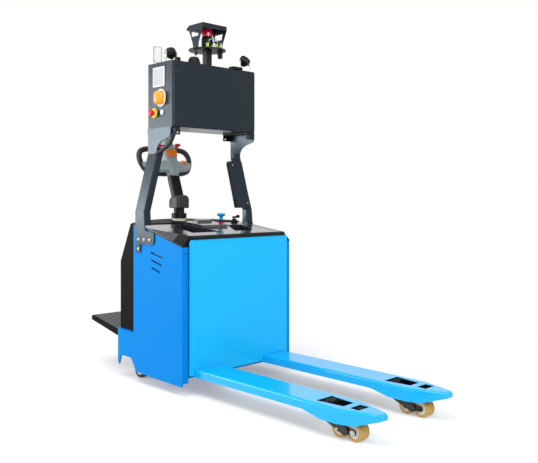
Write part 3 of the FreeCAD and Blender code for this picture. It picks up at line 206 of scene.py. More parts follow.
def make_finishes(look):
    """Every finish on the truck, named for what it is on."""
    plate, panel, forks = ("".join("%02x" % round(255 * c) for c in colour)
                           for colour in (look.plate_blue, look.panel_blue, look.fork_blue))
    # Sprayed and baked enamel over pressed steel: a faint orange peel under a thin clear skin
    finish("plate_enamel", plate, 0.42, coat=0.15, coat_rough=0.12, grain=0.2, peel=0.04, peel_size=0.004,
           mottle=0.015, specular=0.15)
    finish("panel_enamel", panel, 0.42, coat_rough=0.15, grain=0.2, peel=0.04, peel_size=0.004,
           mottle=0.02, specular=0.04)
    # Inside the fork's channel the enamel is painted over with shade
    finish("fork_enamel", forks, 0.3, coat=0.5, coat_rough=0.03, grain=0.15, mottle=0.02, specular=0.2, wear=0.03,
           inside=fork_channel_shade)
    # Fine-textured powder coat with a little metal flake, on folded sheet
    finish("gantry_powder_coat", "232d34", 0.3, metal=0.6, grain=0.05, peel=0.16, peel_size=0.0012, specular=0.35)
    # The legs' face plates take this lighter coat and their return flanges, of the same folded sheet, the darker
    # gantry coat: lit and shaded copies of one coat, painted light and shade
    finish("leg_powder_coat", "3c454c", 0.28, metal=0.75, grain=0.03, peel=0.05, peel_size=0.0012, specular=0.35)
    finish("frame_paint", "0c0d0f", 0.42, grain=0.03, peel=0.12, peel_size=0.0015, specular=0.3)
    # Moulded plastics and rubbers: the mould's spark-eroded texture where they are matt, polished where not
    finish("cover_plastic", "0b0a08", 0.5, grain=0.08, peel=0.25, peel_size=0.0011, specular=0.05)
    finish("trim_plastic", "0d0e0e", 0.38, grain=0.05, peel=0.12, peel_size=0.001, specular=0.2)
    finish("deck_plastic", "2c2e33", 0.12, grain=0.12, mottle=0.02, wear=0.02, specular=0.9)
    finish("tiller_plastic", "8c9a9a", 0.45, grain=0.05, peel=0.15, peel_size=0.001)
    finish("grip_rubber", "18191a", 0.5, grain=0.02, peel=0.3, peel_size=0.0009)
    finish("boot_rubber", "232625", 0.5, grain=0.03, peel=0.1, peel_size=0.001)
    finish("white_plastic", "eceded", 0.4, grain=0.05, mottle=0.01)
    finish("cream_plastic", "ece6cf", 0.45, grain=0.03, mottle=0.03)
    finish("orange_plastic", "f57e22", 0.36, grain=0.03, specular=0.3)
    finish("red_plastic", "cf1232", 0.32, coat=0.2, grain=0.03, specular=0.3)
    finish("blue_plastic", "2f9fe0", 0.32, coat=0.2, grain=0.02, specular=0.3)
    finish("yellow_plastic", "ead83a", 0.35, grain=0.02, specular=0.3)
    finish("lime_plastic", "b4cc28", 0.4, grain=0.02)
    finish("amber_lens", "ff9412", 0.2, coat=0.5, coat_rough=0.04, grain=0.02, glow=0.25, specular=0.3)
    finish("screen_film", "bfc3c7", 0.45, grain=0.05, mottle=0.01, specular=0.1)
    finish("clear_shield", "f4f6f8", 0.06, coat=0.3, grain=0.03, mottle=0.01, clear=0.92)
    finish("scanner_red", "c2143c", 0.16, coat=0.6, coat_rough=0.04, grain=0.02)
    # Zinc plated steel, bright and passivated dark, and brushed-on paint
    finish("zinc_plate", "b9bab4", 0.34, metal=1.0, grain=0.012, peel=0.05, peel_size=0.002, mottle=0.08, wear=0.1)
    finish("dark_zinc", "4a5054", 0.4, metal=1.0, grain=0.004)
    finish("arm_paint", "1a1b1d", 0.4, grain=0.01, peel=0.1, peel_size=0.002, mottle=0.08, wear=0.1)
    # Cast polyurethane tyres and the cushioned mat
    finish("polyurethane", "c99c44", 0.42, coat=0.15, coat_rough=0.3, grain=0.01, mottle=0.1, wear=0.12)
    finish("wheel_hub", "e6dfd2", 0.4, grain=0.01, mottle=0.05)
    finish("tyre_rubber", "202122", 0.72, grain=0.01, peel=0.2, peel_size=0.0015)
    finish("mat_rubber", "303234", 0.34, grain=0.01, peel=0.35, peel_size=0.0013, mottle=0.08)
    # Extruded cable jackets
    finish("pale_cable", "a9c4cc", 0.4, grain=0.01)
    finish("cable_jacket", "141415", 0.5, grain=0.01)


def coat(obj, name):
    """Gives a piece one finish."""
    obj.data.materials.clear()
    obj.data.materials.append(FINISHES[name])
    return obj


# ---------------------------------------------------------------- surfaces

def surface(name, grid, body, finish_name, round_u=False, round_v=False, lids=False, sharp=40):
    """A sheet of quads over a grid of places (rows u, columns v); either way may close on itself, and
    lids close the two ends of a tube with flat faces."""
    rows, columns = grid.shape[:2]
    number = np.arange(rows * columns).reshape(rows, columns)
    if round_u:
        number = np.vstack([number, number[:1]])
    if round_v:
        number = np.hstack([number, number[:, :1]])
    faces = np.stack([number[:-1, :-1], number[:-1, 1:], number[1:, 1:], number[1:, :-1]], -1)
    faces = faces.reshape(-1, 4).tolist()
    if lids:
        faces += [number[0, :columns][::-1].tolist(), number[-1, :columns].tolist()]
    mesh = bpy.data.meshes.new(name)
    mesh.from_pydata(grid.reshape(-1, 3).tolist(), [], faces)
    mesh.update()
    return settle(mesh, name, body, finish_name, sharp)


def settle(mesh, name, body, finish_name, sharp):
    """Turns a mesh's faces outward, shades it and lets it ride on its body, if it has just one."""
    work = bmesh.new()
    work.from_mesh(mesh)
    bmesh.ops.remove_doubles(work, verts=work.verts, dist=1e-6)
    bmesh.ops.recalc_face_normals(work, faces=work.faces)
    work.to_mesh(mesh)
    work.free()
    mesh.shade_smooth()
    mesh.set_sharp_from_angle(angle=math.radians(sharp))
    obj = bpy.data.objects.new(name, mesh)
    bpy.context.scene.collection.objects.link(obj)
    coat(obj, finish_name)
    if body:
        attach(obj, body)
    return obj


def lathe(name, centre, axis, profile, body, finish_name, steps=48):
    """A profile of (radius, height) in mm turned about an axis through a centre: each place is the
    centre plus height along the axis plus radius times the turning direction across it."""
    profile = np.asarray(profile, float) * MM
    axis = np.asarray(axis, float) / np.linalg.norm(axis)
    side = np.cross(axis, [0, 0, 1] if abs(axis[2]) < 0.9 else [1, 0, 0])
    side /= np.linalg.norm(side)
    other = np.cross(axis, side)
    turn = np.linspace(0, 2 * math.pi, steps, endpoint=False)
    around = np.cos(turn)[:, None] * side + np.sin(turn)[:, None] * other
    grid = (np.asarray(centre) + profile[:, 1][:, None, None] * axis
            + profile[:, 0][:, None, None] * around[None])
    return surface(name, grid, body, finish_name, round_v=True, sharp=35)


def both_sides(half):
    """A wheel's profile from its near half: the same places once more, mirrored across its middle."""
    return half + [(radius, -height) for radius, height in half[::-1]]


def rounded_square(steps, power, whole=False):
    """A turn round a square with soft corners: the two coordinates' powers always add up to 1. whole
    repeats the first place at the end."""
    turn = np.linspace(0, 2 * math.pi, steps, endpoint=whole)
    c, d = np.cos(turn), np.sin(turn)
    reach = (np.abs(c) ** power + np.abs(d) ** power) ** (-1 / power)
    return reach * c, reach * d


def smooth_path(points, count=60, closed=False):
    """A curve through points: each stretch is a Catmull-Rom cubic of its four neighbours."""
    points = np.asarray(points, float)
    if closed:
        wide = np.vstack([points[-1:], points, points[:2]])
    else:
        wide = np.vstack([2 * points[0] - points[1], points, 2 * points[-1] - points[-2]])
    spans = len(wide) - 3
    t = np.linspace(0, spans, count, endpoint=not closed)
    i = np.minimum(t.astype(int), spans - 1)
    f = (t - i)[:, None]
    a, b, c, d = wide[i], wide[i + 1], wide[i + 2], wide[i + 3]
    square, cube = 2 * a - 5 * b + 4 * c - d, 3 * b - a - 3 * c + d
    return 0.5 * (2 * b + (c - a) * f + square * f ** 2 + cube * f ** 3)


def tube(name, path, radius, body, finish_name, steps=12):
    """A round section carried along a path: at each place the section stands across the path's own
    direction, its two sides found from that direction and a steady up."""
    path = np.asarray(path, float)
    along = np.gradient(path, axis=0)
    along /= np.linalg.norm(along, axis=1)[:, None]
    up = np.array([0.0, 0.0, 1.0]) if np.abs(along[:, 2]).max() < 0.93 else np.array([0.0, 0.2, 0.0])
    if abs((along @ up).max()) > 0.99:
        up = np.array([1.0, 0.3, 0.1])
    side = np.cross(along, up)
    side /= np.linalg.norm(side, axis=1)[:, None]
    other = np.cross(side, along)
    turn = np.linspace(0, 2 * math.pi, steps, endpoint=False)
    grid = path[:, None] + radius * MM * (np.cos(turn)[None, :, None] * side[:, None]
                                          + np.sin(turn)[None, :, None] * other[:, None])
    return surface(name, grid, body, finish_name, round_v=True, lids=True)


def rounded_outline(corners, radii, steps=6):
    """A closed flat outline whose corners are arcs: each arc starts and ends its radius's tangent
    length from the corner and turns about the centre on the bisector."""
    corners = np.asarray(corners, float)
    radii = np.broadcast_to(radii, len(corners))
    out = []
    around = zip(np.roll(corners, 1, 0), corners, np.roll(corners, -1, 0), radii)
    for before, corner, after, radius in around:
        a, b = before - corner, after - corner
        a, b = a / np.linalg.norm(a), b / np.linalg.norm(b)
        half = math.acos(np.clip(a @ b, -1, 1)) / 2
        if radius <= 0 or half > 1.55:
            out.append(corner[None])
            continue
        reach = radius / math.tan(half)
        middle = corner + (a + b) / np.linalg.norm(a + b) * radius / math.sin(half)
        start, end = corner + a * reach - middle, corner + b * reach - middle
        share = np.linspace(0, 1, steps)[:, None]
        arc = start * (1 - share) + end * share
        out.append(middle + arc / np.linalg.norm(arc, axis=1)[:, None] * radius)
    return np.vstack(out)


def slab(name, outline, low, high, body, finish_name, axis, edge):
    """A flat piece with soft edges: its outline, in mm, is repeated at levels along an axis and drawn in
    towards its middle near both faces by a quarter-circle of the edge's size."""
    outline = np.asarray(outline, float)
    middle = outline.mean(0)
    ahead = np.roll(outline, -1, 0) - np.roll(outline, 1, 0)
    inward = np.stack([-ahead[:, 1], ahead[:, 0]], -1)
    inward /= np.maximum(np.linalg.norm(inward, axis=1), 1e-9)[:, None]
    if ((middle - outline) * inward).sum() < 0:
        inward = -inward
    angle = np.linspace(0, math.pi / 2, 4)
    drawn, risen = edge * (1 - np.sin(angle)), edge * (1 - np.cos(angle))
    depth = np.concatenate([drawn, drawn[::-1]])
    level = np.concatenate([low + risen, high - risen[::-1]])
    flat = outline[None] + inward[None] * depth[:, None, None]
    column = np.broadcast_to(level[:, None], flat.shape[:2])
    order = {"x": [2, 0, 1], "y": [0, 2, 1], "z": [0, 1, 2]}[axis]
    stack = np.stack([flat[..., 0], flat[..., 1], column], -1)
    grid = spots(stack[..., order])
    return surface(name, grid, body, finish_name, round_v=True, lids=True, sharp=50)


def soften(obj, edge, sharp=32):
    """Softens a piece's hard edges and keeps its large faces flat to the light."""
    weld = obj.modifiers.new("weld", "WELD")
    weld.merge_threshold = WELD_REACH
    bevel = obj.modifiers.new("soft edges", "BEVEL")
    bevel.width = edge * MM
    bevel.segments = 2
    bevel.limit_method = "ANGLE"
    bevel.angle_limit = math.radians(sharp)
    flat = obj.modifiers.new("flat faces", "WEIGHTED_NORMAL")
    flat.keep_sharp = True
    flat.weight = 60
    return obj


def carry(node, finish_name, edge=1.2, sharp=32, plain=False):
    """Keeps a CAD node as it stands: its split corners are welded, its hard edges softened and its
    curved faces shaded smooth; a plain node, made of flat sheet, keeps even its slight bends crisp."""
    obj = NODES[node]
    coat(obj, finish_name)
    obj.data.shade_smooth()
    obj.data.set_sharp_from_angle(angle=math.radians(SHEET_ANGLE if plain else sharp))
    return soften(obj, edge, sharp)


def stands_for(pieces, *nodes):
    """Hides the CAD nodes that new pieces stand for."""
    for piece in pieces:
        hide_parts(*nodes)


# ---------------------------------------------------------------- settings

class TruckLook(bpy.types.PropertyGroup):
    """Sizes and colours of the truck that a user may change."""
    plate_blue: bpy.props.FloatVectorProperty(
        name="Load plate blue", description="Enamel of the load plate", subtype="COLOR", size=3,
        default=(0.07, 0.73, 0.965), min=0, max=1)
    panel_blue: bpy.props.FloatVectorProperty(
        name="Side panel blue", description="Enamel of the side panels", subtype="COLOR", size=3,
        default=(0.03, 0.525, 0.85), min=0, max=1)
    fork_blue: bpy.props.FloatVectorProperty(
        name="Fork blue", description="Enamel of the forks", subtype="COLOR", size=3,
        default=(0.01, 0.7, 0.955), min=0, max=1)
    mat_pitch: bpy.props.FloatProperty(
        name="Mat pitch", description="Distance between the holes of the platform mat", default=0.029,
        min=0.015, max=0.06, unit="LENGTH")
    cable_radius: bpy.props.FloatProperty(
        name="Lead radius", description="Radius of the pale lead beside the scanner", default=0.0024,
        min=0.001, max=0.006, unit="LENGTH")


class TruckStage(bpy.types.PropertyGroup):
    """Light and camera of the stage."""
    key_power: bpy.props.FloatProperty(
        name="Key light", description="Power of the large soft lamp", default=110, min=0, subtype="POWER")
    fill_power: bpy.props.FloatProperty(
        name="Fill light", description="Power of the second soft lamp", default=125, min=0, subtype="POWER")
    room: bpy.props.FloatProperty(
        name="Room light", description="Strength of the even light all round", default=0.6, min=0, max=2)
    floor_lift: bpy.props.FloatProperty(
        name="Floor lift", description="Brightness added to the floor round the truck", default=0.3, min=0, max=1)
    lens: bpy.props.FloatProperty(
        name="Lens", description="Focal length on a 36 mm wide sensor", default=48.73, min=10, max=200,
        subtype="DISTANCE_CAMERA")


# ---------------------------------------------------------------- pieces

SIDES = (("right", -1), ("left", 1))


class TRUCK_OT_body(bpy.types.Operator):
    """Chassis panels, load plate, deck and rear cover"""
    bl_idname = "truck.body"
    bl_label = "Body"

    def execute(self, context):
        carry("load_plate", "plate_enamel", 1.5, plain=True)
        carry("chassis_shell", "panel_enamel", 1.5, plain=True)
        carry("rear_cover", "cover_plastic", 3, plain=True)
        carry("top_deck", "deck_plastic", 2, plain=True)
        carry("deck_trim", "trim_plastic", 1, plain=True)
        carry("plate_trim", "trim_plastic", 2, plain=True)
        carry("console_lid", "deck_plastic", 3, plain=True)
        # A near-black sheet just behind the louvres of each side sheet, standing for the shade inside the body:
        # painted shade
        for side, way in SIDES:
            near, far = sorted((377 * way, 381 * way))
            slab(side + "_louvre_shade_sheet", [(-310, 610), (-170, 610), (-170, 745), (-310, 745)], near, far,
                 "chassis", "frame_paint", "y", 1)
        # The welds along the forks' heels: a thin bead that wavers a little as it was laid
        half_length, fork_top, bead = 74, 142, 3.4
        for side, way in SIDES:
            along = np.linspace(-1, 1, 120)
            waver = 0.5 * np.sin(along * 140) + 0.3 * np.sin(along * 57)
            path = np.stack([2.0 + waver, FORK_MIDDLE * way + half_length * along, fork_top + 0.6 * waver], -1)
            tube(side + "_heel_weld", spots(path), bead, "carriage", "fork_enamel")
        return {"FINISHED"}


class TRUCK_OT_forks(bpy.types.Operator):
    """Forks, wheel arms and push rods"""
    bl_idname = "truck.forks"
    bl_label = "Forks"

    def execute(self, context):
        for side in ("right", "left"):
            carry(side + "_fork", "fork_enamel", 1.2)
            carry(side + "_wheel_arm", "arm_paint", 1)
            carry(side + "_push_rod", "zinc_plate", 0.8)
            carry(side + "_wheel_truck", "arm_paint", 0.8)
        carry("pivot_pins", "zinc_plate", 0.8)
        return {"FINISHED"}


class TRUCK_OT_wheels(bpy.types.Operator):
    """Load rollers, drive wheel and casters as turned surfaces"""
    bl_idname = "truck.wheels"
    bl_label = "Wheels"

    def execute(self, context):
        roller_height, caster_height, drive_height = 40, 50, 115
        axle_end = 279
        for side, way in SIDES:
            for end, x, wide in (("rear", 924.68, 8), ("front", 1008.68, 13)):
                body = "%s_%s_wheel" % (side, end)
                centre = spot(x, FORK_MIDDLE * way, roller_height)
                tread = lathe(body + "_tread", centre, (0, 1, 0),
                              both_sides([(27, -28.5), (36, -29), (38.5, -28.4), (40, -26.5)]), body,
                              "polyurethane")
                hub = lathe(body + "_hub", centre, (0, 1, 0),
                            both_sides([(6.05, -28), (10, -28), (10.4, -27), (14, -26.6), (24.6, -26.6),
                                        (25.4, -28), (27, -28.4)]), body, "wheel_hub")
                stands_for([tread, hub], "%s_%s_roller" % (side, end))
                # A bright cap over the axle's outer end, wider at the front one
                lathe(body + "_axle_cap", spot(x, axle_end * way, roller_height), (0, way, 0),
                      [(0.01, 0.5), (wide, 0.5), (wide, 3.4), (wide - 1, 4.4), (wide - 2, 4.8), (wide - 2.4, 6.9),
                       (0.01, 6.9)], side + "_truck", "zinc_plate", 32)
            body = side + "_caster_wheel_body"
            centre = spot(-520, 292 * way, caster_height)
            tread = lathe(body + "_tyre", centre, (0, 1, 0),
                          both_sides([(32, -19), (44, -19.5), (48, -18), (50, -13)]), body, "tyre_rubber")
            hub = lathe(body + "_hub", centre, (0, 1, 0),
                        both_sides([(6.05, -19.8), (12, -19.8), (12.5, -17), (27, -14), (30, -18.5), (32, -19)]),
                        body, "wheel_hub")
            stands_for([tread, hub], side + "_caster_wheel")
            carry(side + "_caster_fork", "zinc_plate", 0.8)
        centre = spot(STEER_X, 0, drive_height)
        tread = lathe("drive_tread", centre, (0, 1, 0),
                      both_sides([(86, -36), (106, -37.3), (112, -36), (115, -31)]),
                      "drive_wheel_body", "tyre_rubber", 96)
        core = lathe("drive_core", centre, (0, 1, 0),
                     both_sides([(16.2, -35), (34, -35), (36, -30), (70, -22), (80, -33), (86, -35)]),
                     "drive_wheel_body", "frame_paint", 96)
        stands_for([tread, core], "drive_wheel")
        carry("drive_unit", "frame_paint", 1.5)
        return {"FINISHED"}


class TRUCK_OT_platform(bpy.types.Operator):
    """Rider platform and its pierced mat"""
    bl_idname = "truck.platform"
    bl_label = "Platform"

    def execute(self, context):
        look = context.scene.truck_look
        carry("platform", "cover_plastic", 2)
        # The mat is a level sheet over a fine grid, lowered wherever a place lies within a hole's radius of
        # the nearest point of two interlocking rows of holes, then tilted about the hinge
        pitch = look.mat_pitch / MM
        row, step, radius, sink, steep, thick = 16.0, 2.0, 6.2, 3.2, 2.2, 1.9
        middle, half_length, half_width = -189, 128, 326
        hinge_x, hinge_z, tilt = -652, 246, math.radians(10)
        u, v = np.meshgrid(np.arange(-325, -53 + 1e-6, step), np.arange(-336, 336 + 1e-6, step), indexing="ij")
        line = np.round(v / row)
        shift = np.where(line % 2 == 0, 0, pitch / 2)
        near = np.round((u - middle - shift) / pitch) * pitch + shift + middle
        gap = np.hypot(u - near, v - line * row)
        inside = (np.abs(u - middle) < half_length) & (np.abs(v) < half_width)
        w = thick - sink / (1 + np.exp((gap - radius) * steep)) * inside
        x = hinge_x + u * math.cos(tilt) + w * math.sin(tilt)
        z = hinge_z - u * math.sin(tilt) + w * math.cos(tilt)
        mat = surface("platform_mat_top", spots(np.stack([x, v, z], -1)), "step", "mat_rubber", sharp=60)
        stands_for([mat], "platform_mat")
        return {"FINISHED"}


class TRUCK_OT_gantry(bpy.types.Operator):
    """Legs, bolts, control box and what is on its sides"""
    bl_idname = "truck.gantry"
    bl_label = "Gantry and control box"

    # Each level of a leg: height, rear edge and front edge
    LEVELS = np.array([
        (722, -431, -385), (767.9, -431, -385), (768, -431, -274), (774, -431, -262), (784, -431, -256),
        (830, -431, -256), (833, -431, -280), (836, -431, -318), (842, -431, -336), (868, -431, -345),
        (942, -431, -352), (1100, -435, -356), (1262, -440, -359), (1285, -440, -357), (1300, -440, -350),
        (1314, -440, -337), (1325, -440, -318), (1333, -440, -298), (1340, -440, -268), (1348, -440, -242),
        (1362, -442, -232), (1396, -446, -230), (1402, -446, -230)], float)

    def leg(self, side, way):
        """A leg: its bent face plate, each level set in Y on an upright, a leaning and an upright stretch,
        the return flange up its front edge, a seat under the box and two lugs with holes."""
        z, rear, front = self.LEVELS.T
        across = way * np.interp(z, [722, 942, 1262, 1402], [SIDE_FACE, SIDE_FACE, 308, 308])
        plate, flange_depth = 8, 46
        seat_rear, seat_front, seat_low = -446, -230, 1396
        inner, outer_edge = 244 * way, BOX_SIDE * way

        def strip(name, z, low, high, near, far, finish_name):
            """A folded strip: at each height a rectangle from low to high in X and near to far in Y."""
            rows = np.stack([np.stack([low, near, z], -1), np.stack([high, near, z], -1),
                             np.stack([high, far, z], -1), np.stack([low, far, z], -1)], 1)
            sheet = surface(name, spots(rows), "chassis", finish_name, round_v=True, lids=True, sharp=SHEET_ANGLE)
            return soften(sheet, 1)

        # Face plate and return flange are one folded sheet in two coats, the face lighter and the flange darker:
        # painted light and shade
        face = strip(side + "_leg_face", z, rear, front, across, across - plate * way, "leg_powder_coat")
        part = (z > 845) & (z < 1290)
        flange = strip(side + "_leg_flange", z[part], front[part] - plate, front[part] - 0.2,
                       across[part] - 7.9 * way, across[part] - flange_depth * way, "gantry_powder_coat")
        seat = slab(side + "_leg_seat", [(seat_rear, 300.2 * way), (seat_front, 300.2 * way), (seat_front, inner),
                                         (seat_rear, inner)], seat_low, 1401.9, "chassis", "gantry_powder_coat",
                    "z", 0.8)
        pieces = [face, flange, seat]
        lug_low, lug_thick, hole = 1362, 6, 6.0
        for name, x in (("front", -234), ("rear", seat_rear)):
            # A lug: rays from the hole's middle end on a square outside and on the hole's rim inside
            middle = np.array([260.0 * way, 1374.0])
            turn = np.unique(np.concatenate([np.linspace(-math.pi, math.pi, 40, endpoint=False)] + [
                [math.atan2(b - middle[1], a - middle[0])] for a in (inner, outer_edge) for b in (lug_low, 1402)]))
            ahead = np.stack([np.cos(turn), np.sin(turn)], -1)
            low = np.array([min(inner, outer_edge), lug_low]) - middle
            high = np.array([max(inner, outer_edge), seat_low]) - middle
            level = ahead == 0
            reach = np.where(ahead > 0, high / np.where(level, 1, ahead), low / np.where(level, 1, ahead))
            square = middle + ahead * np.abs(np.where(np.abs(ahead) < 1e-9, 1e9, reach)).min(1)[:, None]
            rim = middle + ahead * hole
            ring = [np.concatenate([np.full((len(turn), 1), depth), edge], 1)
                    for depth, edge in ((x, square), (x + lug_thick, square), (x + lug_thick, rim), (x, rim))]
            lug = surface("%s_%s_lug" % (side, name), spots(np.stack(ring)), "chassis", "gantry_powder_coat",
                          round_u=True, round_v=True, sharp=30)
            pieces.append(lug)
        stands_for(pieces, side + "_leg")

    def execute(self, context):
        for side, way in SIDES:
            self.leg(side, way)
        carry("duct_cover", "gantry_powder_coat", 1, plain=True)
        carry("control_box", "gantry_powder_coat", 1.5, plain=True)
        carry("control_box_cover", "gantry_powder_coat", 1.2, plain=True)
        fixings = []
        for way in (-1, 1):
            for x, z in ((-400, 792), (-348, 792), (-296, 792), (-400, 740)):
                fixings.append(lathe("leg_bolt", spot(x, SIDE_FACE * way, z), (0, way, 0),
                                     [(0.01, 0), (9.4, 0), (9.4, 1.4), (8.4, 3.4), (5.4, 5.2), (3.6, 5.6),
                                      (3.2, 4.2), (0.01, 4)], "chassis", "zinc_plate", 32))
        for y in (-270, 270):
            for z in (1462, 1702):
                fixings.append(lathe("cover_screw", spot(-215, y, z), (1, 0, 0),
                                     [(0.01, 0), (4.4, 0), (4.2, 1.2), (2.6, 2), (1.8, 1.4), (0.01, 1.3)],
                                     "chassis", "dark_zinc", 24))
        stands_for(fixings, "bolts")
        # Small screws near each end of the duct cover on the left leg
        for number, (y, z) in enumerate(((236, 1212), (358, 984))):
            lathe("duct_screw_%d" % number, spot(-346.2, y, z), (1, 0, 0),
                  [(0.01, 0), (4.6, 0), (4.4, 1.4), (3, 2.2), (0.01, 2.3)], "chassis", "zinc_plate", 24)
        # A black conduit runs from the box's front lug down behind the right leg's flange
        course = smooth_path([(-232, -284, 1394), (-226, -284, 1376), (-242, -285, 1346), (-270, -286, 1312),
                              (-318, -292, 1284), (-362, -300, 1262), (-376, -306, 1230), (-378, -316, 1190)], 60)
        tube("leg_conduit", spots(course), 11.5, "chassis", "cable_jacket", 20)
        # On the box's right side: display, beacon, stop and push buttons
        face, button_height = -BOX_SIDE, 1486
        bezel = slab("display_frame", rounded_outline([(-397, 1628), (-292, 1628), (-292, 1736), (-397, 1736)], 6),
                     face - 6, face, "chassis", "white_plastic", "y", 1.5)
        screen = slab("display_film", rounded_outline([(-391, 1635), (-298, 1635), (-298, 1730), (-391, 1730)], 3),
                      face - 6.8, face - 5.9, "chassis", "screen_film", "y", 0.3)
        stands_for([screen], "display_screen")
        base_thick = 8
        base = slab("beacon_plate",
                    rounded_outline([(-362, 1518), (-284, 1518), (-284, 1614), (-362, 1614)], 36, 12),
                    face - base_thick, face, "chassis", "white_plastic", "y", 2)
        ring = lathe("stop_ring", spot(-388, face, button_height), (0, -1, 0),
                     [(9.2, 0.2), (27.5, 0.2), (28, 1), (28, 5), (26.5, 6.4), (22, 8.8), (20, 9), (9.2, 9)],
                     "chassis", "yellow_plastic")
        collar = lathe("push_collar", spot(-314, face, button_height), (0, -1, 0),
                       [(12.6, 0.2), (15, 0.2), (15, 3.6), (14, 5), (12.6, 5)], "chassis", "zinc_plate")
        stands_for([bezel, base, ring, collar], "side_bezels")
        # The beacon's lens: half a drum, its radius falling off steeply towards both ends and fluted by a
        # fast cosine of the turn
        height, turn = np.meshgrid(np.linspace(0, 1, 25), np.linspace(-math.pi / 2, math.pi / 2, 61),
                                   indexing="ij")
        lens_radius, flute, flutes, reach = 35, 0.014, 24, 1.05
        swell = lens_radius * (1 - (np.abs(2 * height - 1)) ** 5) ** 0.5 * (1 - flute * np.cos(turn * flutes))
        swell = np.maximum(swell, 0.5)
        x = -323 + swell * np.sin(turn)
        y = face - base_thick - reach * swell * np.cos(turn)
        z = 1526 + 80 * height
        lens = surface("beacon_lens_shell", spots(np.stack([x, y, z], -1)), "chassis", "amber_lens")
        stands_for([lens], "beacon_lens")
        stop = lathe("stop_mushroom", spot(-388, face - 1, button_height), (0, -1, 0),
                     [(8.5, 0.2), (8.5, 17), (12, 17.5), (18.5, 18.6), (20, 21), (20, 26.5), (18.4, 30), (14, 33),
                      (8, 34.4), (0.01, 35)], "stop", "red_plastic")
        stands_for([stop], "stop_button")
        push = lathe("push_cap", spot(-314, face - 1, button_height), (0, -1, 0),
                     [(11, 0.2), (11, 5.4), (10, 6.8), (6, 7), (0.01, 6.6)], "push", "white_plastic")
        stands_for([push], "push_button")
        return {"FINISHED"}


class TRUCK_OT_mast(bpy.types.Operator):
    """Lamps, sensor mast, scanner and hood"""
    bl_idname = "truck.mast"
    bl_label = "Mast and lamps"

    def execute(self, context):
        carry("lamp_brackets", "zinc_plate", 0.6)
        for node in ("right_lamp_head", "left_lamp_head"):
            carry(node, "trim_plastic", 0.8)
        carry("box_top_lamps", "trim_plastic", 1.5)
        carry("lamp_shield", "clear_shield", 1)
        # The clear guard's edge binding: a thin round bead all round it
        across, up = rounded_square(121, 8, whole=True)
        binding = np.stack([np.full(121, -354.0), -303 - 26 * across, 1806 + 43 * up], -1)
        tube("guard_binding", spots(binding), 1.3, "chassis", "frame_paint", 8)
        carry("mast", "frame_paint", 0.8)
        carry("sensor_hood", "gantry_powder_coat", 0.6, plain=True)
        carry("mast_plugs", "lime_plastic", 0.8)
        foot = spot(-297, 0, 1870)
        base = lathe("scanner_body", foot, (0, 0, 1),
                     [(0.01, 0), (33, 0), (33, 60), (31, 64), (28.8, 66), (28.8, 68), (0.01, 68)],
                     "chassis", "trim_plastic")
        head = lathe("scanner_window", foot, (0, 0, 1),
                     [(0.01, 68.2), (29, 68.2), (31, 70), (31, 106), (29.5, 111), (26, 113), (0.01, 113)],
                     "chassis", "scanner_red")
        stands_for([base, head], "scanner")
        slab("hood_lip", [(-356, 1996), (-357, 1976), (-374, 1973), (-377, 1982), (-372, 1990)], -87.5, 87.5,
             "chassis", "gantry_powder_coat", "y", 1)
        # The scanner's lead: out of its body, round in one loop and down into its plug
        loop = smooth_path([(-264, -12, 1896), (-250, -24, 1898), (-236, -36, 1906), (-233, -12, 1919),
                            (-234, 18, 1914), (-236, 22, 1894), (-238, 4, 1884), (-238, -14, 1876), (-236, 4, 1870),
                            (-236, 34, 1874), (-234, 56, 1888), (-238, 54, 1900), (-240, 52, 1892)], 110)
        tube("scanner_lead", spots(loop), context.scene.truck_look.cable_radius / MM, "chassis", "pale_cable")
        short = smooth_path([(-265, 10, 1900), (-246, 16, 1906), (-236, 20, 1899), (-235, 20, 1890)], 40)
        tube("power_lead", spots(short), 3, "chassis", "cable_jacket")
        return {"FINISHED"}


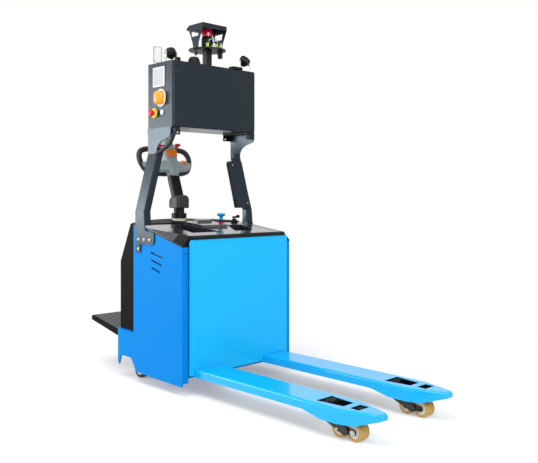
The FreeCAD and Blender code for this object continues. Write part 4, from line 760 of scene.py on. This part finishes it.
class TRUCK_OT_tiller(bpy.types.Operator):
    """Steering column, boot, arm and control head"""
    bl_idname = "truck.tiller"
    bl_label = "Tiller"

    def execute(self, context):
        ring = lathe("column_ring_shell", spot(STEER_X, 0, 875), (0, 0, 1),
                     [(26.5, 0.3), (40, 0.3), (40, 18), (38.5, 20), (28, 20), (26.5, 19)], "chassis",
                     "cream_plastic")
        stands_for([ring], "column_ring")
        carry("steering_column", "trim_plastic", 1.5)
        # The boot: at each level a rounded square, round enough to keep its corners soft, drawn in at
        # the bottom lip and in a quarter circle at the top
        boot_x, shoulder, crown = -556, 1006, np.linspace(0.2, 1.55, 9)
        level = np.concatenate([[955, 955, 957], np.linspace(962, shoulder, 8), shoulder + 27 * np.sin(crown),
                                [1033]])
        draw = np.concatenate([[30, 2, 0], np.zeros(8), 22 * (1 - np.cos(crown)), [40]])
        c, d = rounded_square(64, 6)
        wide = np.maximum(40 - draw, 0.5)[:, None] * c
        deep = np.maximum(46 - draw, 0.5)[:, None] * d
        rows = np.stack([boot_x + wide, deep, np.broadcast_to(level[:, None], wide.shape)], -1)
        boot = surface("tiller_boot", spots(rows), None, "boot_rubber", round_v=True, lids=True, sharp=50)
        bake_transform(boot)
        carry("tiller_arm", "trim_plastic", 2)
        # The head: sections across its length, each a rounded square of that level's half width and depth
        level, half, front, rear = np.array([
            (166, 4, 10, -6), (166.5, 22, 24, -18), (170, 27, 30, -24), (186, 30, 33, -26), (200, 36, 34, -27),
            (214, 40, 34, -28), (240, 40, 34, -28), (268, 40, 34, -28), (300, 42, 34, -28), (344, 39, 34, -28),
            (380, 33, 33, -27), (401, 28, 31, -25), (413, 24, 28, -22), (417.6, 19, 22, -16),
            (418.2, 4, 6, -4)]).T[:, :, None]
        c, d = rounded_square(56, 5)
        x = (front + rear) / 2 + (front - rear) / 2 * c
        rows = np.stack([x, half * d, np.broadcast_to(level, x.shape)], -1)
        head = [surface("head_spine", on_tiller(rows), "tiller", "tiller_plastic", round_v=True, lids=True,
                        sharp=60)]
        c, d = rounded_square(56, 3)
        out = np.linspace(0, 1, 25)
        middle = np.interp(out, [0, 0.3, 0.6, 0.8, 1], [240, 234, 236, 248, 262])[:, None]
        tall = np.interp(out, [0, 0.3, 0.5, 0.8, 1], [40, 32, 24, 26, 17])[:, None]
        deep = np.interp(out, [0, 0.5, 1], [26, 20, 14])[:, None]
        back = np.interp(out, [0, 0.5, 1], [2, -16, -44])[:, None]
        x = back + deep * c
        for side, way in SIDES:
            # A wing: sections from the spine out to the grip, getting thinner and swinging back
            y = np.broadcast_to(way * (30 + 150 * out)[:, None], x.shape)
            rows = np.stack([x, y, middle + tall * d], -1)
            head.append(surface(side + "_head_wing", on_tiller(rows), "tiller", "tiller_plastic", round_v=True,
                                lids=True, sharp=60))
        stands_for(head, "tiller_head")
        carry("head_plate", "orange_plastic", 0.6)
        carry("head_paddles", "red_plastic", 1.5)
        carry("belly_button", "red_plastic", 2.5)
        carry("thumb_rockers", "orange_plastic", 1.5)
        # The grip: a round section, slightly flattened front to back, carried round a soft-cornered closed
        # course that is the same on both sides
        half = [(0, 366), (70, 367), (120, 364), (164, 350), (184, 312), (176, 262), (150, 224), (104, 209),
                (50, 206), (0, 206)]
        whole = half + [(-y, w) for y, w in half[-2:0:-1]]
        set_back, grip_radius, flattened = -46, 17, 0.92
        course = smooth_path([(set_back, y, w) for y, w in whole], 160, True)
        path = on_tiller(course)
        along = np.roll(path, -1, 0) - np.roll(path, 1, 0)
        along /= np.linalg.norm(along, axis=1)[:, None]
        across = np.array([math.cos(LEAN), 0, math.sin(LEAN)])
        outward = np.cross(along, across)
        turn = np.linspace(0, 2 * math.pi, 20, endpoint=False)
        grid = path[:, None] + grip_radius * MM * (flattened * np.cos(turn)[None, :, None] * across
                                                   + np.sin(turn)[None, :, None] * outward[:, None])
        grip = surface("grip_loop", grid, "tiller", "grip_rubber", round_u=True, round_v=True)
        stands_for([grip], "tiller_loops")
        return {"FINISHED"}


class TRUCK_OT_controls(bpy.types.Operator):
    """Disconnect knob and key lever on the deck"""
    bl_idname = "truck.controls"
    bl_label = "Deck controls"

    def execute(self, context):
        foot = spot(-372, 168, 859.2)
        sunk = np.array([0, 0, 9.5 * MM])
        ring = lathe("socket_ring", foot - sunk, (0, 0, 1),
                     [(9.7, 0), (20, 0), (20, 14), (19, 18), (16.5, 21.5), (9.7, 21.8)], "chassis", "red_plastic")
        gland = lathe("socket_gland", foot, (0, 0, 1),
                      [(9.6, 12.2), (15, 12.2), (15, 23), (13, 26), (9.6, 26)], "chassis", "trim_plastic")
        stands_for([ring, gland], "disconnect_socket")
        knob = lathe("disconnect_mushroom", foot, (0, 0, 1),
                     [(0.01, -5.8), (9, -5.8), (9, 27), (10.5, 31), (9.8, 40), (12, 46), (20, 49), (25, 54),
                      (25.6, 58), (23, 63), (15, 66), (0.01, 67)], "disconnect", "blue_plastic")
        stands_for([knob], "disconnect_knob")
        carry("key_lever", "trim_plastic", 1.5)
        return {"FINISHED"}


class TRUCK_OT_stage(bpy.types.Operator):
    """Floor, backdrop, soft lamps, world and camera"""
    bl_idname = "truck.stage"
    bl_label = "Stage"

    def seen(self, tree):
        """1 where the eye, a reflection or a clear piece looks, and 0 where light is gathered."""
        path = tree.nodes.new("ShaderNodeLightPath")
        both = maths(tree, "MAXIMUM", path.outputs["Is Camera Ray"], path.outputs["Is Glossy Ray"])
        return maths(tree, "MAXIMUM", both, path.outputs["Is Transmission Ray"])

    def execute(self, context):
        stage = context.scene.truck_stage
        scene = context.scene
        scene.view_settings.view_transform = "Standard"
        mesh = bpy.data.meshes.new("floor")
        size = 30.0
        corners = [(-size, -size, 0), (size, -size, 0), (size, size, 0), (-size, size, 0)]
        mesh.from_pydata(corners, [], [(0, 1, 2, 3)])
        floor = bpy.data.objects.new("floor", mesh)
        scene.collection.objects.link(floor)
        floor.location.z = -0.5 * MM
        # Round the truck the floor takes its shadow; farther off, over this stretch (m), it turns plain white
        # to the eye
        shadow_end, white_start = 1.1, 2.6
        paint = bpy.data.materials.new("pale_floor")
        paint.use_nodes = True
        tree = paint.node_tree
        shader = tree.nodes["Principled BSDF"]
        shader.inputs["Base Color"].default_value = (0.8, 0.8, 0.8, 1)
        shader.inputs["Roughness"].default_value = 0.9
        shader.inputs["Specular IOR Level"].default_value = 0.05
        lift = tree.nodes.new("ShaderNodeEmission")
        lift.inputs["Strength"].default_value = stage.floor_lift
        near = tree.nodes.new("ShaderNodeAddShader")
        tree.links.new(shader.outputs[0], near.inputs[0])
        tree.links.new(lift.outputs[0], near.inputs[1])
        white = tree.nodes.new("ShaderNodeEmission")
        place = tree.nodes.new("ShaderNodeTexCoord")
        length = tree.nodes.new("ShaderNodeVectorMath")
        length.operation = "LENGTH"
        tree.links.new(place.outputs["Object"], length.inputs[0])
        fade = tree.nodes.new("ShaderNodeMapRange")
        fade.interpolation_type = "SMOOTHSTEP"
        fade.inputs["From Min"].default_value = shadow_end
        fade.inputs["From Max"].default_value = white_start
        tree.links.new(length.outputs["Value"], fade.inputs["Value"])
        far = tree.nodes.new("ShaderNodeMixShader")
        tree.links.new(fade.outputs["Result"], far.inputs["Fac"])
        tree.links.new(near.outputs[0], far.inputs[1])
        tree.links.new(white.outputs[0], far.inputs[2])
        gate = tree.nodes.new("ShaderNodeMixShader")
        tree.links.new(self.seen(tree), gate.inputs["Fac"])
        tree.links.new(shader.outputs[0], gate.inputs[1])
        tree.links.new(far.outputs[0], gate.inputs[2])
        tree.links.new(gate.outputs[0], tree.nodes["Material Output"].inputs["Surface"])
        mesh.materials.append(paint)

        # Each lamp: where it stands and what it faces (m), its width and height (m) and its power
        for name, place, aim, width, height, power in (
                ("key_lamp", (-3.6, -3.4, 1.5), (-0.3, 0, 1.1), 3.0, 1.7, stage.key_power),
                ("front_lamp", (4.6, -1.4, 3.4), (0, 0, 0.6), 2.6, 2.4, stage.fill_power),
                ("top_lamp", (0.6, -2.2, 4.4), (0, 0, 0.5), 2.4, 2.0, stage.fill_power * 0.6)):
            data = bpy.data.lights.new(name, "AREA")
            data.shape = "RECTANGLE"
            data.size, data.size_y = width, height
            data.energy = power
            lamp = bpy.data.objects.new(name, data)
            scene.collection.objects.link(lamp)
            lamp.location = place
            ahead = np.array(aim) - np.array(place)
            lamp.rotation_euler = (math.atan2(math.hypot(ahead[0], ahead[1]), -ahead[2]),
                                   0, math.atan2(-ahead[0], ahead[1]))

        world = bpy.data.worlds.new("soft_room")
        scene.world = world
        world.use_nodes = True
        tree = world.node_tree
        soft = tree.nodes["Background"]
        soft.inputs["Color"].default_value = (0.96, 0.98, 1, 1)
        soft.inputs["Strength"].default_value = stage.room
        white = tree.nodes.new("ShaderNodeBackground")
        white.inputs["Color"].default_value = (1, 1, 1, 1)
        white.inputs["Strength"].default_value = 1.0
        gate = tree.nodes.new("ShaderNodeMixShader")
        tree.links.new(self.seen(tree), gate.inputs["Fac"])
        tree.links.new(soft.outputs[0], gate.inputs[1])
        tree.links.new(white.outputs[0], gate.inputs[2])
        tree.links.new(gate.outputs[0], tree.nodes["World Output"].inputs["Surface"])

        data = bpy.data.cameras.new("camera")
        data.lens = stage.lens
        data.sensor_width = SENSOR
        data.shift_y = EYE_SHIFT
        camera = bpy.data.objects.new("camera", data)
        scene.collection.objects.link(camera)
        camera.location = spot(*EYE)
        camera.rotation_euler = (math.radians(90), 0, math.radians(EYE_TURN))
        scene.camera = camera
        return {"FINISHED"}


class TRUCK_PT_panel(bpy.types.Panel):
    """Lists what builds the truck"""
    bl_idname = "TRUCK_PT_panel"
    bl_label = "Pallet truck"
    bl_space_type = "VIEW_3D"
    bl_region_type = "UI"
    bl_category = "Pallet truck"

    def draw(self, context):
        for group in (context.scene.truck_look, context.scene.truck_stage):
            for name in group.__annotations__:
                self.layout.prop(group, name)
        for operator in OPERATORS:
            self.layout.operator(operator.bl_idname)


OPERATORS = (TRUCK_OT_body, TRUCK_OT_forks, TRUCK_OT_wheels, TRUCK_OT_platform, TRUCK_OT_gantry, TRUCK_OT_mast,
             TRUCK_OT_tiller, TRUCK_OT_controls, TRUCK_OT_stage)
CLASSES = (TruckLook, TruckStage) + OPERATORS + (TRUCK_PT_panel,)


def register():
    for kind in CLASSES:
        bpy.utils.register_class(kind)
    bpy.types.Scene.truck_look = bpy.props.PointerProperty(type=TruckLook)
    bpy.types.Scene.truck_stage = bpy.props.PointerProperty(type=TruckStage)


def unregister():
    del bpy.types.Scene.truck_look
    del bpy.types.Scene.truck_stage
    for kind in reversed(CLASSES):
        bpy.utils.unregister_class(kind)


def main():
    register()
    make_finishes(bpy.context.scene.truck_look)
    for operator in OPERATORS:
        group, name = operator.bl_idname.split(".")
        getattr(getattr(bpy.ops, group), name)()


if __name__ == "__main__":
    main()
